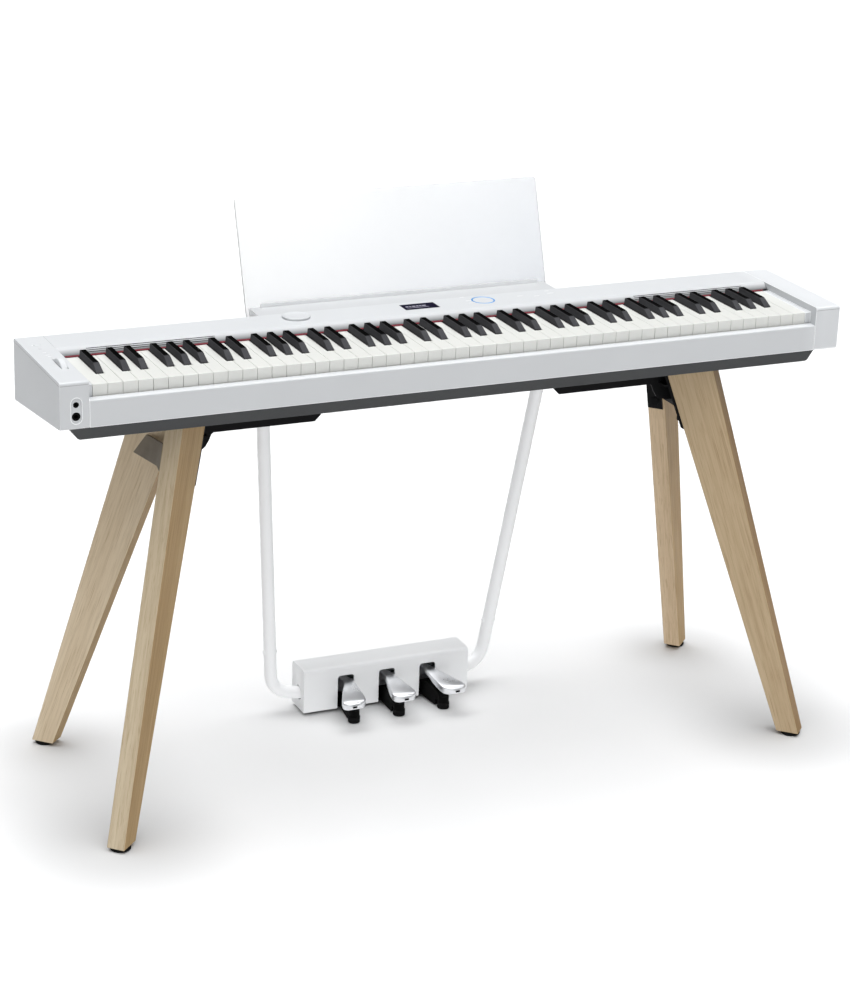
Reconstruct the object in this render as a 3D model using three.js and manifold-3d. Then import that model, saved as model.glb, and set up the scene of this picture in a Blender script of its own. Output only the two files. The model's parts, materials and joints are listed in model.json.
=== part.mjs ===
// A slim 88-key digital piano on a splayed four-leg stand, with a three-pedal unit
// and a lift-out music rest.
// Millimetres. +X to the player's right, +Y away from the player, +Z up.
// Origin: on the floor, midway between the four feet.

import * as THREE from 'three';
import { mergeVertices } from 'three/addons/utils/BufferGeometryUtils.js';
import Module from 'manifold-3d';

const wasm = await Module();
wasm.setup();

// ---------------------------------------------------------------- driving sizes

const GAP = 0.3;                    // clearance between pieces that meet
const WALL = 3;                     // moulded shell thickness

// piano body
const BODY_HALF = 670;
const BODY_FRONT = -139.9;
const BODY_REAR = 102.1;
const BODY_TOP = 741.4;
const BLOCK_WIDTH = 45.2;
const BLOCK_INNER = BODY_HALF - BLOCK_WIDTH;
const FRONT_UNDERSIDE = 668.2;      // the end blocks' underside falls towards the rear
const REAR_UNDERSIDE = 641.7;
const SLIP_TOP = 711.3;             // white rail in front of the keys
const PANEL_FRONT = 30;             // front edge of the control panel
const PANEL_THICK = 5;
const TRAY_FRONT = -109.2;          // dark lower case
const TRAY_REAR = 96;
const TRAY_BOTTOM = 640.1;
const TRAY_HALF = 634.3;

// keys
const WHITE_COUNT = 52;
const KEYS_HALF = 614.3;
const WHITE_PITCH = (2 * KEYS_HALF) / WHITE_COUNT;
const KEY_GAP = 0.9;
const KEY_FRONT = -122.4;
const KEY_TOP = 729.6;
const KEY_UNDER = 709.6;
const BLACK_FRONT = -74.5;
const BLACK_WIDTH = 11.6;
const BLACK_TOP = 741.2;
const NOTCH_HALF = 7;               // half the space left for a black key
const TAIL_START = 70;              // behind here the tails are thin and pass over each other
const KEY_REAR = 88;
const BAR_REAR = 96;
const WHITE_TAIL_TOP = 718.6;
const BLACK_TAIL_UNDER = 719.5;
const FIRST_SINGLE_WHITE = 23;      // the middle C octave has its own seven white keys
const SINGLE_WHITES = 7;

// stand
const FOOT_X = 603;
const FOOT_Y = 203.4;
const LEG_ANGLE = 0.776;            // plan angle of a leg's wide faces from the X axis
const LEG_THICK = 30.4;
const LEG_FOOT_WIDTH = 38.4;
const LEG_SPAN = 645;               // height over which the taper is stated
const LEG_TOP_INNER = -265.9;       // along the leg's wide direction, from the foot's centre
const LEG_TOP_OUTER = -180.2;
const LEG_LEAN = 4.2;
const LEG_BOTTOM = 6;
const LEG_TOP = 635.5;
const PLATE_UNDER = LEG_TOP + GAP;
const PLATE_TOP = TRAY_BOTTOM - GAP;
const GLIDE_RADIUS = 16.5;
const ARM_END = 207;
const ARM_UNDER = 596;
const ARM_HALF = 19;
const FLANGE_BOTTOM = 525;

// pedal unit
const UNIT_X = -5.75;
const UNIT_HALF = 155.2;
const UNIT_FRONT = 145;
const UNIT_REAR = 201;
const UNIT_BOTTOM = 6;
const UNIT_TOP = 84;
const PEDAL_PITCH = 77;
const FOOT_PITCH = 84.3;
const SLOT_HALF = 15;
const SLOT_TOP = 66.5;
const AXLE_Y = 185;
const AXLE_Z = 44;
const AXLE_RADIUS = 4;
const PEDAL_X = -2.5;               // the pedals sit a little right of their slots' centres
const PEDAL_TIP = 66;
const PEDAL_FAN = 19;               // how far an outer pedal's tip swings outwards
const REST_FOOT_Y = 97;
const REST_FOOT_RADIUS = 10.5;
const TUBE_RADIUS = 11;
const TUBE_ENTRY = { y: 170.5, z: 35.5 };

// music rest
const HOLDER_HALF = 266;
const HOLDER_TOP = 738.6;
const REST_HALF = 270.5;
const REST_THICK = 4;
const REST_LEAN = 0.33;             // radians back from vertical
const REST_FACE_Y = 154;            // where its front face meets the holder's top
const REST_RISE = 177.5;            // along the panel above the holder's top
const REST_DROP = 42;               // along the panel below it

// controls
const DIAL = { x: -215, y: 74, radius: 22.5, height: 3.4 };
const WHEEL = { x: -640.5, y: -48, z: 715.4, radius: 34, width: 10 };
const POWER = { x: -646.5, y: 55, radius: 6 };
const SOCKET_X = -644.5;
const SMALL_SOCKET = { z: 705.3, radius: 4.3, bore: 1.8 };
const LARGE_SOCKET = { z: 687.2, radius: 6.4, bore: 3.2 };
const RECESS = { half: 8, bottom: 676.8, top: 716.3, depth: 2 };
const DISPLAY = { half: 30, front: 56.5, rear: 86.5 };
const INLET = { x: -520, z: 676, radius: 4.2 };

// ---------------------------------------------------------------- materials

const finish = (color, roughness, metalness = 0) =>
  new THREE.MeshStandardMaterial({ color, roughness, metalness });

const WHITE_SHELL = finish(0xe6e8ea, 0.3);
const IVORY = finish(0xf0f0ea, 0.35);
const EBONY = finish(0x17181a, 0.45);
const FELT = finish(0x6e0d1c, 0.95);
const DARK_CASE = finish(0x696b6d, 0.55);
const OAK = finish(0xb4a082, 0.6);
const BLACK_STEEL = finish(0x151617, 0.45, 0.6);
const TAUPE_STEEL = finish(0x827666, 0.5, 0.5);
const BARE_STEEL = finish(0x9a9da0, 0.35, 0.9);
const CHROME = finish(0xd8dadc, 0.12, 1);
const RUBBER = finish(0x101011, 0.85);
const BLACK_PLASTIC = finish(0x0d0d0e, 0.4);
const DISPLAY_GLASS = finish(0x12142a, 0.1);
const CLEAR_ACRYLIC = finish(0xf2f4f6, 0.15);
const BOARD_GREEN = finish(0x1e5a3a, 0.5);

// ---------------------------------------------------------------- geometry helpers

const box = (x0, x1, y0, y1, z0, z1) => {
  const shape = new THREE.BoxGeometry(x1 - x0, y1 - y0, z1 - z0);
  return shape.translate((x0 + x1) / 2, (y0 + y1) / 2, (z0 + z1) / 2);
};

const shapeOf = (points) => new THREE.Shape(points.map(([a, b]) => new THREE.Vector2(a, b)));

const extrude = (shape, depth) =>
  new THREE.ExtrudeGeometry(shape, { depth, bevelEnabled: false, curveSegments: 8 });

const AXES = {
  x: [new THREE.Vector3(0, 1, 0), new THREE.Vector3(0, 0, 1), new THREE.Vector3(1, 0, 0)],
  y: [new THREE.Vector3(1, 0, 0), new THREE.Vector3(0, 0, 1), new THREE.Vector3(0, -1, 0)],
  z: [new THREE.Vector3(1, 0, 0), new THREE.Vector3(0, 1, 0), new THREE.Vector3(0, 0, 1)],
};

// an outline pushed along an axis: (y, z) along x, (x, z) along y, (x, y) along z
function prism(axis, outline, from, to) {
  const shape = outline instanceof THREE.Shape ? outline : shapeOf(outline);
  const body = extrude(shape, to - from);
  body.applyMatrix4(new THREE.Matrix4().makeBasis(...AXES[axis]));
  const start = axis === 'y' ? to : from;
  const shift = { x: [start, 0, 0], y: [0, start, 0], z: [0, 0, start] }[axis];
  return body.translate(...shift);
}

// a round bar along an axis through a point
function rod(axis, radius, from, to, centre, sides = 32) {
  const body = new THREE.CylinderGeometry(radius, radius, to - from, sides);
  const mid = (from + to) / 2;
  if (axis === 'x') return body.rotateZ(Math.PI / 2).translate(mid, centre[0], centre[1]);
  if (axis === 'y') return body.translate(centre[0], mid, centre[1]);
  return body.rotateX(Math.PI / 2).translate(centre[0], centre[1], mid);
}

function solidOf(geometry) {
  const bare = geometry.clone();
  bare.deleteAttribute('normal');
  bare.deleteAttribute('uv');
  const merged = mergeVertices(bare, 1e-4);
  return new wasm.Manifold(new wasm.Mesh({
    numProp: 3,
    vertProperties: Float32Array.from(merged.attributes.position.array),
    triVerts: Uint32Array.from(merged.index.array),
  }));
}

function geometryOf(solid) {
  const mesh = solid.getMesh();
  const geometry = new THREE.BufferGeometry();
  geometry.setAttribute('position', new THREE.BufferAttribute(mesh.vertProperties, 3));
  geometry.setIndex(new THREE.BufferAttribute(mesh.triVerts, 1));
  geometry.computeVertexNormals();
  return geometry;
}

// join the first list, then cut away the second
function build(joined, cutters = []) {
  let solid = solidOf(joined[0]);
  for (const piece of joined.slice(1)) solid = solid.add(solidOf(piece));
  for (const piece of cutters) solid = solid.subtract(solidOf(piece));
  return geometryOf(solid);
}

// points round an arc, in the plane of an outline
function arc(centreA, centreB, radius, fromDeg, toDeg, steps = 5) {
  const points = [];
  for (let i = 0; i <= steps; i += 1) {
    const angle = THREE.MathUtils.degToRad(fromDeg + ((toDeg - fromDeg) * i) / steps);
    points.push([centreA + radius * Math.cos(angle), centreB + radius * Math.sin(angle)]);
  }
  return points;
}

// straight runs joined by bends, as one curve
function bentPath(points, radius) {
  const path = new THREE.CurvePath();
  let start = points[0];
  for (let i = 1; i < points.length - 1; i += 1) {
    const corner = points[i];
    const back = points[i - 1].clone().sub(corner).setLength(radius);
    const ahead = points[i + 1].clone().sub(corner).setLength(radius);
    const enter = corner.clone().add(back);
    const leave = corner.clone().add(ahead);
    path.add(new THREE.LineCurve3(start, enter));
    path.add(new THREE.QuadraticBezierCurve3(enter, corner.clone(), leave));
    start = leave;
  }
  path.add(new THREE.LineCurve3(start, points[points.length - 1]));
  return path;
}

function tubeAlong(path, radius, steps, sides) {
  const section = shapeOf(arc(0, 0, radius, 0, 360 - 360 / sides, sides - 1));
  return new THREE.ExtrudeGeometry(section, { extrudePath: path, steps, bevelEnabled: false });
}

const piano = new THREE.Group();

function place(name, geometry, material, position = [0, 0, 0], turn = 0) {
  const mesh = new THREE.Mesh(geometry, material);
  mesh.name = name;
  mesh.position.set(...position);
  mesh.rotation.z = turn;
  piano.add(mesh);
  return mesh;
}

// ---------------------------------------------------------------- stand: legs and glides

const LEGS = [
  { name: 'front_left', x: -FOOT_X, y: -FOOT_Y, turn: LEG_ANGLE - Math.PI, lean: LEG_LEAN },
  { name: 'front_right', x: FOOT_X, y: -FOOT_Y, turn: -LEG_ANGLE, lean: -LEG_LEAN },
  { name: 'rear_left', x: -FOOT_X, y: FOOT_Y, turn: Math.PI - LEG_ANGLE, lean: -LEG_LEAN },
  { name: 'rear_right', x: FOOT_X, y: FOOT_Y, turn: LEG_ANGLE, lean: LEG_LEAN },
];

const legInner = (z) => THREE.MathUtils.mapLinear(z, 0, LEG_SPAN, -LEG_FOOT_WIDTH / 2, LEG_TOP_INNER);
const legOuter = (z) => THREE.MathUtils.mapLinear(z, 0, LEG_SPAN, LEG_FOOT_WIDTH / 2, LEG_TOP_OUTER);

// tapered board in the leg's own frame: x along the wide faces, z up
function legBoard(leg, grow = 0) {
  const bottom = LEG_BOTTOM - grow;
  const top = LEG_TOP + grow;
  const outline = [
    [legInner(bottom) - grow, bottom],
    [legOuter(bottom) + grow, bottom],
    [legOuter(top) + grow, top],
    [legInner(top) - grow, top],
  ];
  const half = LEG_THICK / 2 + grow;
  return leanWith(leg, prism('y', outline, -half, half));
}

// the board and what is fixed to it lean slightly sideways
function leanWith(leg, geometry) {
  const shear = new THREE.Matrix4();
  shear.elements[9] = leg.lean / LEG_SPAN;
  return geometry.applyMatrix4(shear);
}

// the same geometry in the piano's frame
function standing(leg, geometry) {
  const turn = new THREE.Matrix4().makeRotationZ(leg.turn);
  return geometry.applyMatrix4(turn).translate(leg.x, leg.y, 0);
}

const legSpaces = LEGS.map((leg) => standing(leg, legBoard(leg, GAP)));

function glideDisc() {
  const profile = [[0, 0], [GLIDE_RADIUS - 1.5, 0], [GLIDE_RADIUS, 1.5], [GLIDE_RADIUS, 4.2],
    [GLIDE_RADIUS - 1, LEG_BOTTOM - GAP], [0, LEG_BOTTOM - GAP]];
  const points = profile.map(([r, z]) => new THREE.Vector2(r, z));
  return new THREE.LatheGeometry(points, 32).rotateX(Math.PI / 2);
}

for (const leg of LEGS) {
  place(`leg_${leg.name}`, legBoard(leg), OAK, [leg.x, leg.y, 0], leg.turn);
  place(`glide_${leg.name}`, glideDisc(), RUBBER, [leg.x, leg.y, 0]);
}

// ---------------------------------------------------------------- stand: steel brackets

const sideName = (side) => (side < 0 ? 'left' : 'right');
const legsOn = (side) => LEGS.filter((leg) => Math.sign(leg.x) === side);
const across = (side, a, b) => (side < 0 ? [-b, -a] : [a, b]);

// strap down a leg's inner edge, with its bolt head
function legFlange(leg) {
  const thick = 5.5;
  const half = 12.8;
  const offset = Math.sign(leg.lean) * 1.1;
  const bolt = { z: FLANGE_BOTTOM + 17, radius: 7, proud: 3.5 };
  const outline = [
    [legInner(LEG_TOP) - GAP, LEG_TOP],
    [legInner(FLANGE_BOTTOM) - GAP, FLANGE_BOTTOM],
    [legInner(FLANGE_BOTTOM) - GAP - thick, FLANGE_BOTTOM + 2],
    [legInner(LEG_TOP) - GAP - thick, LEG_TOP],
  ];
  const strap = prism('y', outline, offset - half, offset + half);
  const faceX = legInner(bolt.z) - GAP;
  const head = rod('x', bolt.radius, faceX - thick - bolt.proud, faceX - 1, [0, bolt.z], 16);
  return [strap, head].map((piece) => standing(leg, leanWith(leg, piece)));
}

function standBracket(side) {
  const channelEnd = 424;
  const skin = 3.5;
  const knee = [[404, 596], [413, 596], [422, 591], [428, 581], [432, 569], [437, 553],
    [441, 553], [436, 570], [432, 583], [427.5, 592], [424.2, 600], [424.2, PLATE_TOP],
    [420.2, PLATE_TOP], [420.2, 599.5], [404, 599.5]];
  const channel = [[ARM_END, PLATE_TOP], [ARM_END, ARM_UNDER + 10], [ARM_END + 10, ARM_UNDER],
    [channelEnd, ARM_UNDER], [channelEnd, PLATE_TOP]];
  const mirrored = (outline) => outline.map(([x, z]) => [side * x, z]);
  const inner = ARM_HALF - skin;
  const arm = build(
    [prism('y', mirrored(channel), -ARM_HALF, ARM_HALF)],
    [box(-BODY_HALF, BODY_HALF, -inner, inner, ARM_UNDER - 1, PLATE_UNDER)],
  );
  const plate = box(...across(side, 385, 455), -60, 60, PLATE_UNDER, PLATE_TOP);
  const gusset = [[386, 597], [390.5, 593.5], [394.5, 584], [401, 573.5], [407, 569.5],
    [424, 566], [436, 566], [424, 600], [386, 600]];
  const kneePlate = prism('y', mirrored(knee), -40, 40);
  const gussetPlate = prism('y', mirrored(gusset), -ARM_HALF, -inner);
  const flanges = legsOn(side).flatMap(legFlange);
  return build([arm, plate, kneePlate, gussetPlate, ...flanges], legSpaces);
}

// shallow V-shaped tie between a pair of legs, just below the bracket
function legTie(side) {
  const sweep = 0.19;
  const outline = [[457.5, 577], [471, 544.3], [474, 544.3], [460.5, 577]];
  const mirrored = outline.map(([x, z]) => [side * x, z]);
  const halves = [-1, 1].map((end) => {
    const slant = new THREE.Matrix4();
    slant.elements[4] = side * end * sweep;
    const run = end < 0 ? [-90, 0.5] : [-0.5, 90];
    return prism('y', mirrored, ...run).applyMatrix4(slant);
  });
  return build(halves, legSpaces);
}

for (const side of [-1, 1]) {
  place(`stand_bracket_${sideName(side)}`, standBracket(side), BLACK_STEEL);
  place(`leg_tie_${sideName(side)}`, legTie(side), TAUPE_STEEL);
}

// ---------------------------------------------------------------- body: end blocks

const BLOCK_PROFILE = [
  [BODY_FRONT, FRONT_UNDERSIDE + 2],
  [BODY_FRONT + 2, FRONT_UNDERSIDE],
  [BODY_REAR - 2, REAR_UNDERSIDE],
  [BODY_REAR, REAR_UNDERSIDE + 2],
  ...arc(BODY_REAR - 4, BODY_TOP - 4, 4, 0, 90),
  ...arc(BODY_FRONT + 4, BODY_TOP - 4, 4, 90, 180),
];

function blockSpace(side) {
  const [x0, x1] = across(side, BLOCK_INNER - GAP, BODY_HALF + 1);
  const grown = [
    [BODY_FRONT - 1, FRONT_UNDERSIDE - 2 * GAP],
    [BODY_REAR + 1, REAR_UNDERSIDE - 2 * GAP],
    [BODY_REAR + 1, BODY_TOP + 1],
    [BODY_FRONT - 1, BODY_TOP + 1],
  ];
  return prism('x', grown, x0, x1);
}

function stadium(halfWidth, bottom, top, centreX) {
  return [
    ...arc(centreX, top - halfWidth, halfWidth, 0, 180, 10),
    ...arc(centreX, bottom + halfWidth, halfWidth, 180, 360, 10),
  ];
}

function endBlock(side) {
  const cavityFloor = FRONT_UNDERSIDE + WALL + 2;
  const openingTop = 700;
  const ledge = box(...across(side, KEYS_HALF + GAP, BLOCK_INNER + 1), KEY_FRONT, 14, 702, KEY_TOP);
  const shell = prism('x', BLOCK_PROFILE, ...across(side, BLOCK_INNER, BODY_HALF));
  const cavity = box(...across(side, BLOCK_INNER + WALL, BODY_HALF - WALL), BODY_FRONT + WALL,
    BODY_REAR - WALL, cavityFloor, BODY_TOP - WALL);
  const window = box(...across(side, BLOCK_INNER - 1, BLOCK_INNER + WALL + 1), BODY_FRONT + WALL,
    BODY_REAR - WALL, cavityFloor, openingTop);
  const cutters = [cavity, window];
  if (side < 0) cutters.push(...controlOpenings());
  return build([shell, ledge], cutters);
}

// holes in the left block for the bend wheel, power button and phone sockets
function controlOpenings() {
  const slotHalf = 25.8;
  const slotSide = WHEEL.width / 2 + 0.6;
  const slot = box(WHEEL.x - slotSide, WHEEL.x + slotSide, WHEEL.y - slotHalf, WHEEL.y + slotHalf,
    BODY_TOP - WALL - 1, BODY_TOP + 1);
  const powerHole = rod('z', POWER.radius + GAP, BODY_TOP - WALL - 1, BODY_TOP + 1,
    [POWER.x, POWER.y]);
  const recess = prism('y', stadium(RECESS.half, RECESS.bottom, RECESS.top, SOCKET_X),
    BODY_FRONT - 1, BODY_FRONT + RECESS.depth);
  const holes = [SMALL_SOCKET, LARGE_SOCKET].map((socket) =>
    rod('y', socket.radius + GAP, BODY_FRONT - 1, BODY_FRONT + WALL + 1, [SOCKET_X, socket.z]));
  return [slot, powerHole, recess, ...holes];
}

place('end_block_left', endBlock(-1), WHITE_SHELL);
place('end_block_right', endBlock(1), WHITE_SHELL);

// ---------------------------------------------------------------- body: front, case and panels

const SPAN = BLOCK_INNER - GAP;     // half-length of the pieces between the end blocks

function keySlip() {
  const top = SLIP_TOP;
  const foot = FRONT_UNDERSIDE + GAP;
  const outline = [
    [BODY_FRONT, foot],
    ...arc(BODY_FRONT + 3, top - 3, 3, 180, 90, 4),
    [-124.5, top],
    [-124.5, top - 4],
    [BODY_FRONT + 4, top - 4],
    [BODY_FRONT + 4, foot + 4],
    [-112, foot + 4],
    [-112, foot],
  ];
  return prism('x', outline, -SPAN, SPAN);
}

// open-topped dark lower case with sloping ends
function lowerCase() {
  const outside = [
    ...arc(TRAY_HALF - 6, TRAY_BOTTOM + 9, 9, 270, 320, 4),
    [652, FRONT_UNDERSIDE - GAP],
    [-652, FRONT_UNDERSIDE - GAP],
    ...arc(-TRAY_HALF + 6, TRAY_BOTTOM + 9, 9, 220, 270, 4),
  ];
  const inside = [[TRAY_HALF - 8, TRAY_BOTTOM + WALL + 0.5], [647, FRONT_UNDERSIDE + 1],
    [-647, FRONT_UNDERSIDE + 1], [-TRAY_HALF + 8, TRAY_BOTTOM + WALL + 0.5]];
  return build(
    [prism('y', outside, TRAY_FRONT, TRAY_REAR)],
    [prism('y', inside, TRAY_FRONT + WALL, TRAY_REAR - WALL), blockSpace(-1), blockSpace(1)],
  );
}

function controlPanel() {
  const outline = [
    [PANEL_FRONT, BODY_TOP - PANEL_THICK],
    ...arc(PANEL_FRONT + 2, BODY_TOP - 2, 2, 180, 90, 3),
    ...arc(BODY_REAR - 4, BODY_TOP - 4, 4, 90, 0, 4),
    [BODY_REAR, BODY_TOP - PANEL_THICK],
  ];
  const window = box(-DISPLAY.half - GAP, DISPLAY.half + GAP, DISPLAY.front - GAP,
    DISPLAY.rear + GAP, BODY_TOP - 1.6, BODY_TOP + 1);
  const dialSeat = rod('z', DIAL.radius + 0.5, BODY_TOP - 2, BODY_TOP + 1, [DIAL.x, DIAL.y], 48);
  const dialHole = rod('z', 4, BODY_TOP - 8, BODY_TOP, [DIAL.x, DIAL.y], 24);
  return build([prism('x', outline, -SPAN, SPAN)], [window, dialSeat, dialHole]);
}

function rearPanel() {
  const sheet = box(-SPAN, SPAN, BODY_REAR - WALL, BODY_REAR, REAR_UNDERSIDE + 1,
    BODY_TOP - PANEL_THICK - GAP);
  const inletHole = rod('y', INLET.radius + 1.3, BODY_REAR - WALL - 1, BODY_REAR + 1,
    [INLET.x, INLET.z]);
  return build([sheet], [inletHole]);
}

// sloping strip behind the keys, with the speaker slits
function fallboard() {
  const foot = KEY_TOP + 2.3;
  const under = BODY_TOP - PANEL_THICK - GAP;
  const outline = [[17, foot], [29.6, BODY_TOP], [29.6, under], [36, under], [36, foot]];
  const slits = [];
  for (const side of [-1, 1]) {
    for (const rise of [2.1, 4.2, 6.3]) {
      const y = 17 + (rise / (BODY_TOP - foot)) * 12.6;
      slits.push(box(...across(side, 370, 578), y - 2, y + 1.2, foot + rise - 0.5, foot + rise + 0.5));
    }
  }
  return build([prism('x', outline, -SPAN, SPAN)], slits);
}

place('key_slip', keySlip(), WHITE_SHELL);
place('lower_case', lowerCase(), DARK_CASE);
place('control_panel', controlPanel(), WHITE_SHELL);
place('rear_panel', rearPanel(), WHITE_SHELL);
place('fallboard', fallboard(), WHITE_SHELL);
place('felt_strip', box(-KEYS_HALF, KEYS_HALF, 15.2, 26, KEY_TOP + GAP, KEY_TOP + 2), FELT);

// ---------------------------------------------------------------- body: inside

// pressed frame under the keys, with its rear hinge rail and front stop rail
function keyBed() {
  const half = 611;
  const plate = box(-half, half, -118, 96, 686, 690);
  const hingeRail = box(-half, half, 78, 96, 689, 706);
  const stopRail = box(-half, half, -118, -100, 689, 696.5);
  return build([plate, hingeRail, stopRail]);
}

function mainBoard() {
  const sheet = box(-200, 200, -60, 60, 650, 651.6);
  const chips = [[-120, -20], [-40, 10], [60, -15], [140, 20]].map(([x, y]) =>
    box(x - 14, x + 14, y - 14, y + 14, 651, 655));
  const posts = [[-190, -50], [190, -50], [-190, 50], [190, 50]].map(([x, y]) =>
    rod('z', 4, TRAY_BOTTOM + WALL + 1, 650.5, [x, y], 12));
  return build([sheet, ...chips, ...posts]);
}

// magnet, basket and cone of one driver, turned about its own axis
function speaker() {
  const profile = [[0, 646.5], [24, 646.5], [24, 658], [30, 660], [46, 678], [52, 678], [52, 682],
    [44, 682], [18, 666], [0, 668]];
  const points = profile.map(([r, z]) => new THREE.Vector2(r, z));
  return new THREE.LatheGeometry(points, 32).rotateX(Math.PI / 2);
}

function powerInlet() {
  const housing = box(INLET.x - 7, INLET.x + 7, 82, BODY_REAR - WALL - GAP, INLET.z - 6, INLET.z + 6);
  const nose = rod('y', INLET.radius + 1, 95, BODY_REAR - 0.4, [INLET.x, INLET.z]);
  const bore = rod('y', INLET.radius - 1.2, 88, BODY_REAR + 1, [INLET.x, INLET.z]);
  return build([housing, nose], [bore]);
}

place('key_bed', keyBed(), DARK_CASE);
place('main_board', mainBoard(), BOARD_GREEN);
place('speaker_left', speaker(), BLACK_PLASTIC, [-470, 20, 0]);
place('speaker_right', speaker(), BLACK_PLASTIC, [470, 20, 0]);
place('power_inlet', powerInlet(), BLACK_PLASTIC);

// ---------------------------------------------------------------- controls

function volumeDial() {
  const top = BODY_TOP + DIAL.height;
  const profile = [[0, BODY_TOP - 1.6], [DIAL.radius, BODY_TOP - 1.6], [DIAL.radius, top - 0.8],
    [DIAL.radius - 0.8, top], [DIAL.radius - 2, top], [DIAL.radius - 3, top - 0.6], [0, top - 0.6]];
  const points = profile.map(([r, z]) => new THREE.Vector2(r, z));
  return new THREE.LatheGeometry(points, 48).rotateX(Math.PI / 2);
}

function bendWheel() {
  const half = WHEEL.width / 2;
  const rim = rod('x', WHEEL.radius, -half, half, [0, 0], 64);
  const axle = rod('x', 3, -half - 4, half + 4, [0, 0], 16);
  return build([rim, axle]);
}

function phoneSocket(socket) {
  const front = BODY_FRONT + RECESS.depth + 0.2;
  const barrel = rod('y', socket.radius, front, front + 24, [SOCKET_X, socket.z]);
  const bore = rod('y', socket.bore, front - 1, front + 20, [SOCKET_X, socket.z], 20);
  return build([barrel], [bore]);
}

place('display_window',
  box(-DISPLAY.half, DISPLAY.half, DISPLAY.front, DISPLAY.rear, BODY_TOP - 1.2, BODY_TOP - 0.1),
  DISPLAY_GLASS);
place('volume_dial', volumeDial(), WHITE_SHELL, [DIAL.x, DIAL.y, 0]);
place('bend_wheel', bendWheel(), WHITE_SHELL, [WHEEL.x, WHEEL.y, WHEEL.z]);
place('power_button', rod('z', POWER.radius, BODY_TOP - 7, BODY_TOP + 0.6, [0, 0]), WHITE_SHELL,
  [POWER.x, POWER.y, 0]);
place('phones_socket_small', phoneSocket(SMALL_SOCKET), BLACK_PLASTIC);
place('phones_socket_large', phoneSocket(LARGE_SOCKET), BLACK_PLASTIC);

// ---------------------------------------------------------------- keys

// where the black keys stand in an octave that starts on C: the white key to the
// left, and the shift from the join of the two white keys
const BLACK_PATTERN = [
  { after: 0, shift: -2.4, note: 'c_sharp' },
  { after: 1, shift: 2.4, note: 'd_sharp' },
  { after: 3, shift: -3.2, note: 'f_sharp' },
  { after: 4, shift: 0, note: 'g_sharp' },
  { after: 5, shift: 3.2, note: 'a_sharp' },
];
const WHITE_NOTES = ['c', 'd', 'e', 'f', 'g', 'a', 'b'];
const FIRST_C = 2;                  // the keyboard starts on A

const joinX = (index) => -KEYS_HALF + WHITE_PITCH * (index + 1);

const blackKeys = [];
for (let white = 0; white < WHITE_COUNT - 1; white += 1) {
  const step = (white - FIRST_C + 7) % 7;
  const black = BLACK_PATTERN.find((entry) => entry.after === step);
  if (black) blackKeys.push({ white, note: black.note, x: joinX(white) + black.shift });
}

function whiteKey(index, rear) {
  const left = joinX(index - 1) + KEY_GAP / 2;
  const right = joinX(index) - KEY_GAP / 2;
  const before = blackKeys.find((key) => key.white === index - 1);
  const after = blackKeys.find((key) => key.white === index);
  const tailLeft = before ? before.x + NOTCH_HALF : left;
  const tailRight = after ? after.x - NOTCH_HALF : right;
  const notch = BLACK_FRONT - 2;
  const outline = [[left, KEY_FRONT], [right, KEY_FRONT], [right, notch]];
  if (after) outline.push([tailRight, notch]);
  outline.push([tailRight, TAIL_START], [tailLeft, TAIL_START]);
  if (before) outline.push([tailLeft, notch]);
  outline.push([left, notch]);
  const head = prism('z', outline, KEY_UNDER, KEY_TOP);
  const tail = box(tailLeft, tailRight, TAIL_START - 1, rear, KEY_UNDER, WHITE_TAIL_TOP);
  return [head, tail];
}

function blackKey(key) {
  const outline = [
    [BLACK_FRONT - 0.5, 712],
    [BLACK_FRONT, KEY_TOP + 1],
    [-56, BLACK_TOP - 1],
    [-52, BLACK_TOP],
    [12, BLACK_TOP],
    [12.5, 727.5],
    [KEY_REAR, 727.5],
    [KEY_REAR, BLACK_TAIL_UNDER],
    [TAIL_START, BLACK_TAIL_UNDER],
    [TAIL_START, 712],
  ];
  return prism('x', outline, key.x - BLACK_WIDTH / 2, key.x + BLACK_WIDTH / 2);
}

// keys outside the middle octave hang together from a hidden bar at the rear
function whiteGroup(first, last) {
  const bar = box(joinX(first - 1) + KEY_GAP, joinX(last) - KEY_GAP, 90, BAR_REAR, KEY_UNDER,
    WHITE_TAIL_TOP);
  const keys = [];
  for (let index = first; index <= last; index += 1) keys.push(...whiteKey(index, BAR_REAR - 1));
  return build([bar, ...keys]);
}

function blackGroup(keys) {
  const bar = box(keys[0].x - 4, keys[keys.length - 1].x + 4, 76, KEY_REAR, BLACK_TAIL_UNDER, 727.5);
  return build([bar, ...keys.map(blackKey)]);
}

const lastSingle = FIRST_SINGLE_WHITE + SINGLE_WHITES - 1;
const isSingle = (key) => key.white >= FIRST_SINGLE_WHITE && key.white <= lastSingle;

place('white_keys_bass', whiteGroup(0, FIRST_SINGLE_WHITE - 1), IVORY);
place('white_keys_treble', whiteGroup(lastSingle + 1, WHITE_COUNT - 1), IVORY);
place('black_keys_bass', blackGroup(blackKeys.filter((key) => key.white < FIRST_SINGLE_WHITE)), EBONY);
place('black_keys_treble', blackGroup(blackKeys.filter((key) => key.white > lastSingle)), EBONY);

for (let step = 0; step < SINGLE_WHITES; step += 1) {
  place(`white_key_${WHITE_NOTES[step]}`, build(whiteKey(FIRST_SINGLE_WHITE + step, KEY_REAR)), IVORY);
}
for (const key of blackKeys.filter(isSingle)) {
  place(`black_key_${key.note}`, blackKey(key), EBONY);
}

// ---------------------------------------------------------------- pedal unit

const UNIT_LEFT = UNIT_X - UNIT_HALF;
const UNIT_RIGHT = UNIT_X + UNIT_HALF;

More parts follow.
